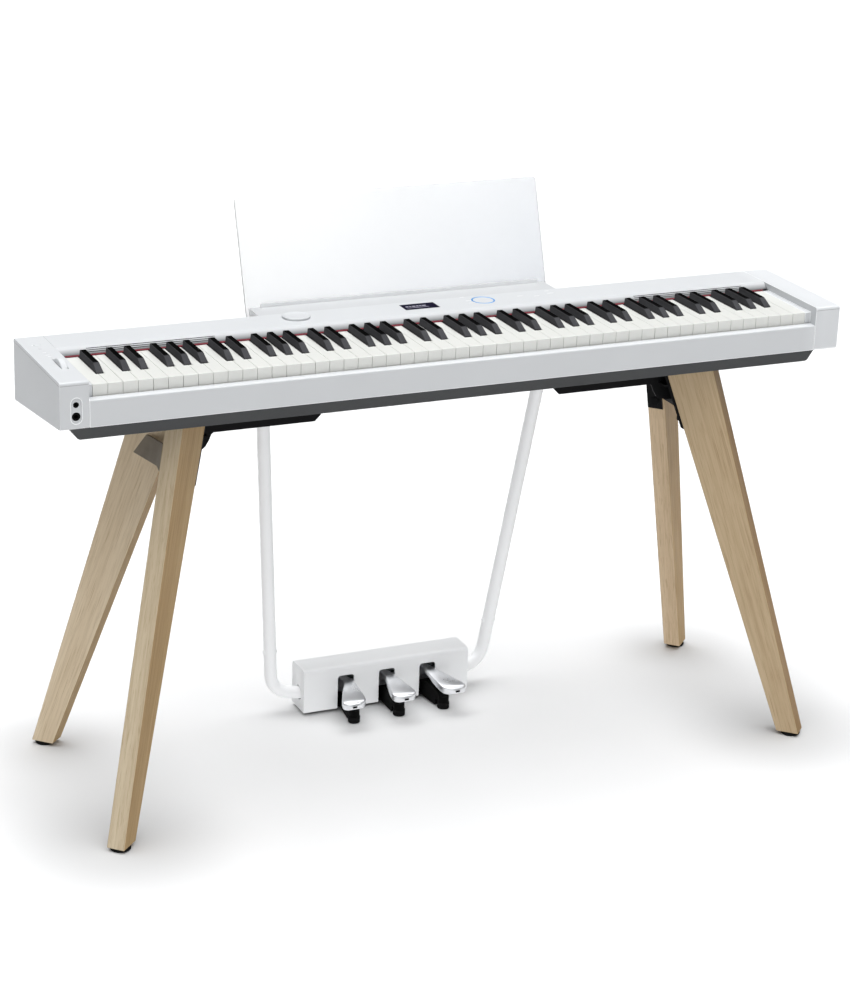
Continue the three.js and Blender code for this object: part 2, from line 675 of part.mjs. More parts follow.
function unitProfile(inset, bottom) {
  const front = UNIT_FRONT + inset;
  const rear = UNIT_REAR - inset;
  const top = UNIT_TOP - inset;
  const radius = 7 - inset / 2;
  return [
    [front, bottom],
    [rear, bottom],
    ...arc(rear - radius, top - radius, radius, 0, 90, 4),
    ...arc(front + radius, top - radius, radius, 90, 180, 4),
  ];
}

function pedalBox() {
  const shell = prism('x', unitProfile(0, UNIT_BOTTOM), UNIT_LEFT, UNIT_RIGHT);
  const hollow = prism('x', unitProfile(WALL, UNIT_BOTTOM - 1), UNIT_LEFT + WALL, UNIT_RIGHT - WALL);
  const slots = [-1, 0, 1].map((place_) => {
    const x = UNIT_X + place_ * PEDAL_PITCH;
    const outline = [[x + SLOT_HALF, UNIT_BOTTOM - 1],
      ...arc(x + SLOT_HALF - 5, SLOT_TOP - 5, 5, 0, 90, 4),
      ...arc(x - SLOT_HALF + 5, SLOT_TOP - 5, 5, 90, 180, 4), [x - SLOT_HALF, UNIT_BOTTOM - 1]];
    return prism('y', outline, UNIT_FRONT - 1, UNIT_FRONT + WALL + 1);
  });
  const tubeHole = rod('x', TUBE_RADIUS + 1.9, UNIT_LEFT - 1, UNIT_RIGHT + 1,
    [TUBE_ENTRY.y, TUBE_ENTRY.z]);
  return build([shell], [hollow, ...slots, tubeHole]);
}

// floor pan of the unit, with three short arms that carry its floor feet
function pedalBase() {
  const inside = WALL + GAP;
  const pan = box(UNIT_LEFT + inside, UNIT_RIGHT - inside, UNIT_FRONT + inside, UNIT_REAR - inside, 7, 11);
  const arms = [-1, 0, 1].flatMap((spot) => {
    const root = UNIT_X + spot * PEDAL_PITCH;
    const foot = PEDAL_X + spot * FOOT_PITCH;
    const outline = [[160, 7.5], [146, 5], [124, 2.6], [111, 1.4], [108.4, 3], [108.4, 12.4],
      [94, 12.4], [94, 23], [100, 26.5], [115, 32], [140, 37], [150, 33], [160, 28]];
    const bar = prism('x', outline, -8, 8);
    const slant = new THREE.Matrix4();
    const run = REST_FOOT_Y - 150;
    slant.elements[4] = (foot - root) / run;
    bar.applyMatrix4(slant).translate(root - ((foot - root) / run) * 150, 0, 0);
    return [bar, rod('z', REST_FOOT_RADIUS - 1, 12.4, 23, [foot, REST_FOOT_Y], 24)];
  });
  const posts = [-1, 1].map((end) => {
    const x = UNIT_X + end * 128;
    return box(x - 4, x + 4, AXLE_Y - 8, AXLE_Y + 8, 10, AXLE_Z + 9);
  });
  const axleHole = rod('x', AXLE_RADIUS + GAP, UNIT_LEFT, UNIT_RIGHT, [AXLE_Y, AXLE_Z], 24);
  return build([pan, ...arms, ...posts], [axleHole]);
}

// chromed lever: narrow inside the unit, widening to a round tip
function pedal(fan) {
  const root = PEDAL_X + fan * PEDAL_PITCH;
  const bend = 140;
  const centre = (y) => root + (y < bend ? fan * PEDAL_FAN * ((bend - y) / (bend - PEDAL_TIP)) : 0);
  const stations = [[194, 7], [bend, 10], [121, 10.8], [105, 15.2], [90, 19.8], [80, 21.5],
    [74, 21.3], [70, 18.5], [67.5, 14], [PEDAL_TIP, 7]];
  const right = stations.map(([y, half]) => [centre(y) + half, y]);
  const left = stations.map(([y, half]) => [centre(y) - half, y]).reverse();
  const side = [[194, 51], [150, 57.3], [138, 57.3], [75, 50.3], [69.5, 49.6], [PEDAL_TIP, 45.5],
    [PEDAL_TIP - 1, 38.5], [68.5, 37], [80, 38.5], [138, 48], [160, 37], [194, 37]];
  const plan = solidOf(prism('z', [...right, ...left], 30, 64));
  const profile = solidOf(prism('x', side, root - 60, root + 60));
  const bore = solidOf(rod('x', AXLE_RADIUS + 0.35, root - 40, root + 40, [AXLE_Y, AXLE_Z], 24));
  return geometryOf(plan.intersect(profile).subtract(bore));
}

// hanger tube from the unit's end up to a plate under the piano
function pedalTube(side) {
  const at = (half, y, z) => new THREE.Vector3(UNIT_X + side * half, y, z);
  const points = [at(UNIT_HALF - 14, TUBE_ENTRY.y - 4.7, TUBE_ENTRY.z), at(199, 187.6, 36),
    at(252.2, 107.4, 600), at(254, 84, 637.5)];
  const tube = tubeAlong(bentPath(points, 37), TUBE_RADIUS, 48, 16);
  const foot = box(UNIT_X + side * 254 - 30, UNIT_X + side * 254 + 30, 68, 94, PLATE_UNDER, PLATE_TOP);
  const screw = rod('x', 4.5, UNIT_X + side * 206.8 - 12.6, UNIT_X + side * 206.8 + 12.6, [175.8, 118], 16);
  return build([tube, foot, screw], [box(-BODY_HALF, BODY_HALF, 0, 150, PLATE_TOP, PLATE_TOP + 20)]);
}

place('pedal_box', pedalBox(), WHITE_SHELL);
place('pedal_base', pedalBase(), BLACK_PLASTIC);
place('pedal_axle', rod('x', AXLE_RADIUS, UNIT_X - 138, UNIT_X + 138, [AXLE_Y, AXLE_Z], 24), BARE_STEEL);
for (const [name, fan] of [['left', -1], ['middle', 0], ['right', 1]]) {
  place(`pedal_${name}`, pedal(fan), CHROME);
  place(`pedal_foot_${name}`, rod('z', REST_FOOT_RADIUS, 0, 12, [0, 0], 28), RUBBER,
    [PEDAL_X + fan * FOOT_PITCH, REST_FOOT_Y, 0]);
}
place('pedal_tube_left', pedalTube(-1), WHITE_SHELL);
place('pedal_tube_right', pedalTube(1), WHITE_SHELL);

// ---------------------------------------------------------------- music rest

// along the panel's face (up is positive) and behind it, from where it meets the holder
const restPoint = (along, behind) => [
  REST_FACE_Y + along * Math.sin(REST_LEAN) + behind * Math.cos(REST_LEAN),
  HOLDER_TOP + along * Math.cos(REST_LEAN) - behind * Math.sin(REST_LEAN),
];

function musicRest() {
  const outline = [restPoint(-REST_DROP, 0), restPoint(REST_RISE, 0), restPoint(REST_RISE, REST_THICK),
    restPoint(-REST_DROP, REST_THICK)];
  return prism('x', outline, -REST_HALF, REST_HALF);
}

// ledge fixed behind the piano, with a sloping pocket that the rest drops into
function restHolder() {
  const slotFloor = -REST_DROP - 0.5;
  const outline = [
    [BODY_REAR + GAP, HOLDER_TOP],
    restPoint(0, -0.6),
    restPoint(slotFloor, -0.6),
    restPoint(slotFloor, REST_THICK + 0.6),
    restPoint(-14, REST_THICK + 0.6),
    restPoint(-14, REST_THICK + 4),
    restPoint(slotFloor - 4, REST_THICK + 4),
    restPoint(slotFloor - 4, -5),
    restPoint(-24, -6),
    [BODY_REAR + GAP, HOLDER_TOP - 24],
  ];
  const lip = box(-HOLDER_HALF + 20, HOLDER_HALF - 14, 148.6, 152.6, HOLDER_TOP - 1, HOLDER_TOP + 6);
  return build([prism('x', outline, -HOLDER_HALF, HOLDER_HALF), lip], []);
}

place('rest_holder', restHolder(), WHITE_SHELL);
place('music_rest', musicRest(), CLEAR_ACRYLIC);

export default piano;
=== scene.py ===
import json
import math

import bmesh
import bpy
from mathutils import Matrix, Vector


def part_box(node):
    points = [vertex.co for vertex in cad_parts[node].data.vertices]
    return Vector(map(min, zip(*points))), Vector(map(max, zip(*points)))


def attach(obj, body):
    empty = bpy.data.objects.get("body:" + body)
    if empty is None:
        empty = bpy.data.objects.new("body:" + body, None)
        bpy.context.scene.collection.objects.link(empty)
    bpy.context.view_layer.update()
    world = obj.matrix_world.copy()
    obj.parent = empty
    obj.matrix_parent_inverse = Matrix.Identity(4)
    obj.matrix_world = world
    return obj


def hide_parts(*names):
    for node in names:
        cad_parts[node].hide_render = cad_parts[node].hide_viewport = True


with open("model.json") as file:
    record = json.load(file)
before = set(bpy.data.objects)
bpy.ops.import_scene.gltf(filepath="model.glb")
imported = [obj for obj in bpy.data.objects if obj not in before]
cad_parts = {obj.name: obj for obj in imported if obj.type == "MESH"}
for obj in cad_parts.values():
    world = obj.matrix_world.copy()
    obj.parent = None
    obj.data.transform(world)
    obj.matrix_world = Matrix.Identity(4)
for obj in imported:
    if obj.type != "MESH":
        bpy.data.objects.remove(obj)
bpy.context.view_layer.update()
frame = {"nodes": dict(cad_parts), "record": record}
NODES = frame["nodes"]
RECORD = frame["record"]
BODY_OF = {n: body for body, names in RECORD["behaviour"]["bodies"].items() for n in names}
SLOT_OF = {part["node"]: part["material_slot"] for part in RECORD["subparts"]}
MM = 0.001
GRAIN_DEPTH = 0.00004


# ---------------------------------------- material helpers

def add_node(tree, kind, **settings):
    node = tree.nodes.new(kind)
    for key, value in settings.items():
        setattr(node, key, value)
    return node


class Finish:
    """A node material being put together around one Principled shader."""

    def __init__(self, name, turn=None, **fixed):
        self.turn = turn
        self.material = bpy.data.materials.new(name)
        self.material.use_nodes = True
        self.tree = self.material.node_tree
        self.tree.nodes.clear()
        out = self.add("ShaderNodeOutputMaterial")
        self.shader = self.add("ShaderNodeBsdfPrincipled")
        self.link(self.shader.outputs["BSDF"], out.inputs["Surface"])
        for socket, value in fixed.items():
            self.shader.inputs[socket.replace("_", " ")].default_value = value

    def add(self, kind, **settings):
        return add_node(self.tree, kind, **settings)

    def link(self, a, b):
        self.tree.links.new(a, b)

    def coords(self, stretch=(1, 1, 1)):
        place = self.add("ShaderNodeTexCoord").outputs["Object"]
        if self.turn is not None:
            turned = self.add("ShaderNodeMapping")
            turned.inputs["Rotation"].default_value = self.turn
            self.link(place, turned.inputs["Vector"])
            place = turned.outputs["Vector"]
        scale = self.add("ShaderNodeMapping")
        scale.inputs["Scale"].default_value = stretch
        self.link(place, scale.inputs["Vector"])
        return scale.outputs["Vector"]

    def noise(self, scale, detail=3.0, roughness=0.5, stretch=(1, 1, 1), distortion=0.0):
        node = self.add("ShaderNodeTexNoise")
        node.inputs["Scale"].default_value = scale
        node.inputs["Detail"].default_value = detail
        node.inputs["Roughness"].default_value = roughness
        node.inputs["Distortion"].default_value = distortion
        self.link(self.coords(stretch), node.inputs["Vector"])
        return node.outputs["Fac"]

    def ramp(self, value, stops):
        node = self.add("ShaderNodeValToRGB")
        elements = node.color_ramp.elements
        while len(elements) < len(stops):
            elements.new(0.5)
        for element, (at, colour) in zip(elements, stops):
            element.position = at
            element.color = (*colour, 1)
        self.link(value, node.inputs["Fac"])
        return node.outputs["Color"]

    def spread(self, value, low, high, start=0.3, end=0.7):
        node = self.add("ShaderNodeMapRange")
        node.inputs["From Min"].default_value = start
        node.inputs["From Max"].default_value = end
        node.inputs["To Min"].default_value = low
        node.inputs["To Max"].default_value = high
        self.link(value, node.inputs["Value"])
        return node.outputs["Result"]

    def mix(self, kind, factor, a, b):
        node = self.add("ShaderNodeMix", data_type="RGBA", blend_type=kind)
        for value, socket in ((factor, node.inputs[0]), (a, node.inputs[6]), (b, node.inputs[7])):
            if isinstance(value, bpy.types.NodeSocket):
                self.link(value, socket)
            elif isinstance(value, (int, float)):
                socket.default_value = value
            else:
                socket.default_value = (*value, 1)
        return node.outputs[2]

    def reach(self, vector, direction, start, end):
        """0 to 1 as the vector's run along a direction goes from start to end."""
        dot = self.add("ShaderNodeVectorMath", operation="DOT_PRODUCT")
        self.link(vector, dot.inputs[0])
        dot.inputs[1].default_value = direction
        return self.spread(dot.outputs["Value"], 0.0, 1.0, start, end)

    def facing(self, direction, start, end):
        """0 to 1 as the surface turns towards a direction."""
        normal = self.add("ShaderNodeNewGeometry").outputs["Normal"]
        return self.reach(normal, Vector(direction).normalized(), start, end)

    def soft_spot(self, centre, wide, deep, dark):
        """White with a soft dark oval of painted shadow about a point on the floor."""
        move = self.add("ShaderNodeMapping")
        move.inputs["Location"].default_value = (-centre.x / wide, -centre.y / deep, 0)
        move.inputs["Scale"].default_value = (1 / wide, 1 / deep, 0)
        self.link(self.add("ShaderNodeTexCoord").outputs["Object"], move.inputs["Vector"])
        reach = self.add("ShaderNodeVectorMath", operation="LENGTH")
        self.link(move.outputs["Vector"], reach.inputs[0])
        fade = self.add("ShaderNodeMapRange", interpolation_type="SMOOTHERSTEP")
        fade.inputs["To Min"].default_value = 1 - dark
        self.link(reach.outputs["Value"], fade.inputs["Value"])
        return fade.outputs["Result"]

    def along(self, direction, start, end):
        """0 to 1 between two distances along a direction."""
        place = self.add("ShaderNodeTexCoord").outputs["Object"]
        return self.reach(place, direction, start, end)

    def colour(self, socket):
        self.link(socket, self.shader.inputs["Base Color"])

    def rough(self, socket):
        self.link(socket, self.shader.inputs["Roughness"])

    def bump(self, value, strength, distance):
        node = self.add("ShaderNodeBump")
        node.inputs["Strength"].default_value = strength
        node.inputs["Distance"].default_value = distance
        self.link(value, node.inputs["Height"])
        self.link(node.outputs["Normal"], self.shader.inputs["Normal"])

    def surface(self, grain, low, high, strength, depth=GRAIN_DEPTH, detail=3, roughness=0.6):
        """Uneven gloss and a fine bump, both from one noise."""
        fine = self.noise(grain, detail, roughness)
        self.rough(self.spread(fine, low, high))
        self.bump(fine, strength, depth)


def shade(colour, factor):
    return tuple(min(1.0, c * factor) for c in colour)


def about(colour, spread):
    """Ramp stops a little below and above a colour."""
    return [(0.3, shade(colour, 1 - spread)), (0.7, shade(colour, 1 + spread))]


def moulded(name, colour, rough, spread=0.02, grain=900, bump=0.12, depth=GRAIN_DEPTH, **fixed):
    """Painted or moulded plastic: a slow tone drift, a fine grain and uneven gloss."""
    f = Finish(name, **fixed)
    f.colour(f.ramp(f.noise(7, 3, 0.5), about(colour, spread)))
    f.surface(grain, rough - 0.05, rough + 0.05, bump, depth)
    return f.material


def shell_finish():
    """White moulded shell: painted shade makes its left and front sides deeper in tone, and a
    painted highlight makes its right end paler.
    """
    f = Finish("white_shell")
    tone = f.ramp(f.noise(7, 3, 0.5), [(0.3, (0.64, 0.653, 0.666)), (0.7, (0.66, 0.673, 0.686))])
    # Painted shade on the faces turned to the left.
    tone = f.mix("MULTIPLY", f.facing((-1, 0, 0), 0.7, 0.95), tone, (0.85, 0.855, 0.86))
    # Painted highlight on the right end.
    tone = f.mix("MULTIPLY", f.along((1, 0, 0), 0.6, 0.64), tone, (1.12, 1.12, 1.12))
    # Painted shade on the faces turned to the front.
    f.colour(f.mix("MULTIPLY", f.facing((0, -1, 0), 0.7, 0.95), tone, (0.935, 0.935, 0.935)))
    f.surface(900, 0.33, 0.43, 0.12)
    return f.material


def facing_shaded(name, top, side, rough, grain=900, **fixed):
    """Moulded plastic with painted light and shade: one tone on its level faces and another on its
    upright ones.
    """
    f = Finish(name, **fixed)
    drift = f.noise(7, 3, 0.5)
    level, upright = (f.ramp(drift, about(tone, 0.02)) for tone in (top, side))
    # Painted light and shade, by which way the face turns.
    f.colour(f.mix("MIX", f.facing((0, 0, 1), 0.3, 0.9), upright, level))
    f.surface(grain, rough - 0.05, rough + 0.05, 0.12)
    return f.material


def steel(name, colour, rough, metallic, grain=700, bump=0.3, **fixed):
    """Powder-coated or bare metal with a fine orange-peel surface."""
    f = Finish(name, Metallic=metallic, **fixed)
    patches = f.noise(28, 4, 0.6)
    f.colour(f.ramp(patches, [(0.3, shade(colour, 0.85)), (0.72, shade(colour, 1.18))]))
    f.surface(grain, rough - 0.07, rough + 0.07, bump, 2 * GRAIN_DEPTH, 2, 0.5)
    return f.material


def oak_finish(name, turn, light_and_shade):
    """Straight-grained oak with painted light and shade: faces turned to the front left take the
    paler lit tone, the others the shaded tone. Turn brings the grain to Z; the third argument
    scales the lit and shaded tones.
    """
    f = Finish(name, turn, Specular_IOR_Level=0.35)
    broad = f.noise(38, 4, 0.55, (1, 1, 0.04), 0.1)
    # The first ramp is the painted lit tone, the second the painted shaded tone.
    pale = f.ramp(broad, [(0.28, (0.55, 0.446, 0.31)), (0.5, (0.6, 0.5, 0.36)),
                          (0.74, (0.65, 0.555, 0.41))])
    shaded_oak = f.ramp(broad, [(0.28, (0.455, 0.315, 0.158)), (0.5, (0.5, 0.355, 0.185)),
                          (0.74, (0.55, 0.4, 0.218))])
    pale = f.mix("MULTIPLY", 1.0, pale, light_and_shade[0])
    shaded_oak = f.mix("MULTIPLY", 1.0, shaded_oak, light_and_shade[1])
    # Painted light and shade: faces turned to the front left take the lit tone, the others the
    # shaded tone.
    tone = f.mix("MIX", f.facing((-0.7, -0.7, 0), 0.4, 0.9), shaded_oak, pale)
    fibre = f.noise(260, 5, 0.65, (1, 1, 0.03))
    streaks = f.ramp(fibre, [(0.34, (0.82, 0.79, 0.74)), (0.56, (1, 1, 1))])
    pores = f.noise(900, 2, 0.5, (1, 1, 0.022))
    flecks = f.ramp(pores, [(0.33, (0.72, 0.66, 0.58)), (0.42, (1, 1, 1))])
    f.colour(f.mix("MULTIPLY", 0.7, f.mix("MULTIPLY", 0.75, tone, streaks), flecks))
    f.rough(f.spread(fibre, 0.62, 0.48))
    f.bump(pores, 0.35, 0.00015)
    return f.material


def ebony_finish():
    """Black key: a near-black top, and sides and nose that a painted reflection makes slightly
    paler and duller.
    """
    f = Finish("ebony", Specular_IOR_Level=0.0)
    grain = f.noise(60, 3, 0.5, (1, 0.2, 1))
    side = f.ramp(grain, [(0.3, (0.056, 0.056, 0.06)), (0.7, (0.074, 0.074, 0.079))])
    top = f.ramp(grain, [(0.3, (0.0025, 0.0025, 0.0025)), (0.7, (0.004, 0.004, 0.004))])
    # Painted reflection: the sides and nose are paler than the top.
    f.colour(f.mix("MIX", f.facing((0, 0, 1), 0.95, 0.995), side, top))
    f.surface(1200, 0.32, 0.42, 0.2)
    return f.material


def case_finish():
    """Dark moulded case with a painted shadow line just under the white parts."""
    f = Finish("dark_case", Specular_IOR_Level=0.3)
    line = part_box("key_slip")[0].z
    body = f.ramp(f.noise(7, 3, 0.5), [(0.3, (0.067, 0.069, 0.071)), (0.7, (0.075, 0.077, 0.079))])
    # Painted shadow: a darker band just under the key slip.
    painted_shadow = f.along((0, 0, 1), line - 4.2 * MM, line - 2.4 * MM)
    f.colour(f.mix("MIX", painted_shadow, body, (0.03, 0.031, 0.032)))
    f.surface(600, 0.55, 0.68, 0.4)
    return f.material


def felt_finish():
    """Dark red felt with a fuzzy surface."""
    f = Finish("felt", Sheen_Weight=0.35, Sheen_Roughness=0.5)
    fuzz = f.noise(1500, 4, 0.7)
    f.colour(f.ramp(fuzz, [(0.3, (0.13, 0.004, 0.012)), (0.7, (0.27, 0.012, 0.03))]))
    f.rough(f.spread(fuzz, 0.85, 0.98))
    f.bump(fuzz, 0.8, 0.0004)
    return f.material


def chrome_finish():
    """Chrome with a slight haze."""
    f = Finish("chrome", Metallic=1.0)
    haze = f.noise(40, 3, 0.5)
    f.colour(f.ramp(haze, [(0.3, (0.83, 0.84, 0.86)), (0.7, (0.89, 0.9, 0.92))]))
    f.rough(f.spread(f.noise(30, 3, 0.5), 0.26, 0.34))
    return f.material


def acrylic_finish():
    """Milky clear acrylic, made a little deeper in tone towards its lower right corner by painted
    shade.
    """
    f = Finish("acrylic", Transmission_Weight=0.62, IOR=1.46)
    cloud = f.noise(5, 2, 0.5)
    clear = f.ramp(cloud, [(0.3, (0.965, 0.968, 0.97)), (0.7, (0.98, 0.982, 0.984))])
    low_right_shade = f.along((1, 0, -1.2), -1.25, -0.65)
    f.colour(f.mix("MULTIPLY", low_right_shade, clear, (0.85, 0.865, 0.89)))
    f.rough(f.spread(f.noise(600, 2, 0.5), 0.16, 0.26))
    return f.material


def glowing(name, colour, strength):
    """A lit mark: its colour also shines."""
    f = Finish(name, Roughness=0.4, Emission_Strength=strength)
    cells = f.noise(60, 2, 0.5)
    tone = f.ramp(cells, [(0.35, shade(colour, 0.8)), (0.65, shade(colour, 1.15))])
    f.colour(tone)
    f.link(tone, f.shader.inputs["Emission Color"])
    return f.material


def graded(name, low_colour, high_colour, low, high):
    """White plastic that falls into shade towards its lower edge."""
    f = Finish(name, Roughness=0.4)
    high_tone = f.ramp(f.noise(9, 3, 0.5), about(high_colour, 0.015))
    f.colour(f.mix("MIX", f.along((0, 0, 1), low, high), low_colour, high_tone))
    f.bump(f.noise(900, 3, 0.6), 0.12, GRAIN_DEPTH)
    return f.material


def display_finish():
    """A dark blue window."""
    f = Finish("display", Specular_IOR_Level=0.03)
    pixels = f.noise(2600, 1, 0.4)
    f.colour(f.ramp(pixels, [(0.35, (0.003, 0.002, 0.011)), (0.65, (0.008, 0.006, 0.024))]))
    f.rough(f.spread(pixels, 0.3, 0.45))
    return f.material


WHITE_LIGHT = (1, 1, 1, 1)
MATERIALS = {
    "white_shell": shell_finish(),
    # The white tubes glow faintly: painted light.
    "white_tube": moulded("white_tube", (0.95, 0.957, 0.965), 0.34, 0.01, grain=500,
                          Emission_Color=WHITE_LIGHT, Emission_Strength=0.06),
    "ivory": moulded("ivory", (0.715, 0.718, 0.686), 0.34, 0.015, grain=1400),
    "ebony": ebony_finish(),
    "dark_case": case_finish(),
    "rubber": moulded("rubber", (0.006, 0.006, 0.006), 0.85, 0.3, grain=500, bump=0.5, depth=0.0002,
                      Specular_IOR_Level=0.15),
    "black_plastic": moulded("black_plastic", (0.003, 0.003, 0.003), 0.5, 0.2, bump=0.3,
                             Specular_IOR_Level=0.05),
    "black_steel": steel("black_steel", (0.0075, 0.0075, 0.008), 0.5, 0.0, Specular_IOR_Level=0.05),
    "taupe_steel": steel("taupe_steel", (0.25, 0.215, 0.17), 0.5, 0.3),
    "bare_steel": steel("bare_steel", (0.42, 0.43, 0.44), 0.34, 1.0, 300, 0.1),
    "board": moulded("board", (0.012, 0.09, 0.04), 0.5, 0.3, grain=300),
    "felt": felt_finish(),
    "chrome": chrome_finish(),
    "acrylic": acrylic_finish(),
    "display": display_finish(),
}
# Painted highlight on rounded edges: paler than the shell and glowing faintly.
EDGE_HIGHLIGHT = moulded("edge_highlight", (0.82, 0.83, 0.84), 0.3, 0.01, Emission_Color=WHITE_LIGHT,
                     Emission_Strength=0.1)
# The pedal box, with painted shade on its top.
WHITE_BOX = facing_shaded("white_box", (0.79, 0.797, 0.803), (0.935, 0.943, 0.95), 0.36, 500)
# The rest holder: painted shade on its level faces, and a faint glow that is painted light.
HOLDER_WHITE = facing_shaded("holder_white", (0.56, 0.57, 0.58), (0.82, 0.83, 0.84), 0.4,
                         Emission_Color=WHITE_LIGHT, Emission_Strength=0.03)
# Painted shade: the dark seen through the fallboard's slits.
SLIT_SHADE = moulded("slit_shade", (0.03, 0.03, 0.032), 0.7, 0.2)
# Painted shade: an opaque grey for the clear panel's edges.
CLEAR_EDGE_SHADE = moulded("clear_edge_shade", (0.5, 0.5, 0.505), 0.3, 0.05)
MARK_GREY = moulded("mark_grey", (0.42, 0.43, 0.44), 0.5, 0.05)
MARK_WHITE = moulded("mark_white", (0.95, 0.95, 0.95), 0.4, 0.01)
# Grey for the end caps' joint lines, and for the painted shadow line at the foot of the holder's
# lip.
SEAM_AND_SHADOW_GREY = moulded("seam_and_shadow_grey", (0.3, 0.305, 0.31), 0.6, 0.05)
BLUE_GLOW = glowing("blue_glow", (0.04, 0.29, 0.68), 0.12)
SCREEN_GLOW = glowing("screen_glow", (0.42, 0.41, 0.5), 0.18)


# ---------------------------------------- mesh helpers

def mesh_from(name, bm):
    bmesh.ops.recalc_face_normals(bm, faces=bm.faces)
    mesh = bpy.data.meshes.new(name)
    bm.to_mesh(mesh)
    bm.free()
    mesh.shade_smooth()
    return mesh


def in_scene(name, data):
    """A new object, linked to the scene."""
    obj = bpy.data.objects.new(name, data)
    bpy.context.scene.collection.objects.link(obj)
    return obj


def piece(name, bm, body, slot, material=None, stands_for=()):
    """A finished piece that rides on a body."""
    obj = in_scene(name, mesh_from(name, bm))
    obj.data.materials.append(material or MATERIALS[slot])
    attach(obj, body)
    if stands_for:
        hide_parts(*stands_for)
    return obj


def soften(obj, width, segments=3, angle=32, edge=None):
    """Rounds the sharp edges and keeps the flat faces flat in shading."""
    bevel = obj.modifiers.new("edges", "BEVEL")
    bevel.width = width
    bevel.segments = segments
    bevel.limit_method = "ANGLE"
    bevel.angle_limit = math.radians(angle)
    if edge is not None:
        obj.data.materials.append(edge)
        bevel.material = 1
    normals = obj.modifiers.new("normals", "WEIGHTED_NORMAL")
    normals.weight = 80
    normals.keep_sharp = True
    return obj


def whole_faces(node):
    """The CAD node's solid with its coplanar triangles joined."""
    bm = bmesh.new()
    bm.from_mesh(NODES[node].data)
    bmesh.ops.remove_doubles(bm, verts=bm.verts, dist=2e-6)
    bmesh.ops.dissolve_limit(bm, angle_limit=math.radians(0.5), verts=bm.verts, edges=bm.edges,
                             use_dissolve_boundaries=False)
    return bm


def refine(node, width, segments=3, material=None, edge=None):
    """A finished version of a CAD node: same shape, rounded edges."""
    obj = piece(node + "_fine", whole_faces(node), BODY_OF[node], SLOT_OF[node], material, [node])
    soften(obj, width, segments, edge=edge)


def bake_modifiers(obj):
    """Turns the object's modifiers into its mesh."""
    bpy.context.view_layer.update()
    shaped = obj.evaluated_get(bpy.context.evaluated_depsgraph_get())
    mesh = bpy.data.meshes.new_from_object(shaped)
    obj.modifiers.clear()
    obj.data = mesh


def add_prism(bm, outline, axis, start, end):
    """An outline in the plane across an axis, pushed from start to end along it."""
    order = {"x": lambda a, b, t: (t, a, b), "y": lambda a, b, t: (a, t, b),
             "z": lambda a, b, t: (a, b, t)}[axis]
    near = [bm.verts.new(order(a, b, start)) for a, b in outline]
    far = [bm.verts.new(order(a, b, end)) for a, b in outline]
    count = len(outline)
    bm.faces.new(near)
    bm.faces.new(far[::-1])
    for i in range(count):
        j = (i + 1) % count
        bm.faces.new((near[j], near[i], far[i], far[j]))


def add_block(bm, x0, x1, y0, y1, z0, z1):
    add_prism(bm, [(x0, y0), (x1, y0), (x1, y1), (x0, y1)], "z", z0, z1)


def add_loft(bm, rings, closed_ends=True):
    """Quads between equal rings of points, with an end face on the first and last."""
    rows = [[bm.verts.new(p) for p in ring] for ring in rings]
    count = len(rows[0])
    for a, b in zip(rows, rows[1:]):
        for i in range(count):
            j = (i + 1) % count
            bm.faces.new((a[i], a[j], b[j], b[i]))
    if closed_ends:
        bm.faces.new(rows[0][::-1])
        bm.faces.new(rows[-1])


def add_lathe(bm, profile, centre, axis="z", steps=64):
    """A closed (radius, height) profile turned about the z or x axis through the centre."""
    turn = {"z": Matrix.Identity(3), "x": Matrix.Rotation(math.pi / 2, 3, "Y")}[axis]
    place = Vector(centre)
    rings = []
    for radius, height in profile:
        ring = []
        for i in range(steps):
            a = 2 * math.pi * i / steps
            ring.append(turn @ Vector((radius * math.cos(a), radius * math.sin(a), height)) + place)
        rings.append(ring)
    if profile[0][0] > 0 and profile[0] == profile[-1]:
        add_loft(bm, rings, False)
        bmesh.ops.remove_doubles(bm, verts=bm.verts, dist=1e-7)
    else:
        add_loft(bm, rings)


def centre_of(node):
    low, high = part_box(node)
    return (low + high) / 2


def lathed(node, profile_for, slot, steps=64):
    """A lathed version of a round CAD node; profile_for takes its radius and height in mm."""
    low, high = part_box(node)
    middle = centre_of(node)
    profile = profile_for((high.x - low.x) / 2 / MM, (high.z - low.z) / MM)
    bm = bmesh.new()
    add_lathe(bm, [(r * MM, h * MM) for r, h in profile], (middle.x, middle.y, low.z), "z", steps)
    piece(node + "_fine", bm, BODY_OF[node], slot, stands_for=[node])


def rounded(half_a, half_b, radius, steps=4):
    """A rectangle with rounded corners, centred on the origin."""
    points = []
    corners = [(1, 1, 0), (-1, 1, 90), (-1, -1, 180), (1, -1, 270)]
    for sa, sb, start in corners:
        for i in range(steps + 1):
            a = math.radians(start + 90 * i / steps)
            points.append((sa * (half_a - radius) + radius * math.cos(a),
                           sb * (half_b - radius) + radius * math.sin(a)))
    return points


# ---------------------------------------- camera, floor and light

# The photo's viewpoint, in metres, radians and shares of the sensor; lens and sensor in mm.
CAMERA_AT = (-1.71876, -3.69807, 1.93763)
YAW, PITCH, ROLL = -0.432453, -0.353792, 0.034415
LENS, SENSOR, SHIFT = 95.156, 36, (0.00016, -0.00115)
# The lobe's direction and strength, the light all round, the least sideways light, the light from
# straight above, and the share of the sideways light that comes from below and from above.
LOBE_FROM = (-0.2, -0.95, 0.0)
LOBE_GAIN, AMBIENT, DIMMEST, OVERHEAD = 0.72, 0.2, 0.22, 3.35
FROM_BELOW, FROM_ABOVE = 1.7, 0.4
FLOOR_HALF, DOME_RADIUS = 35, 34


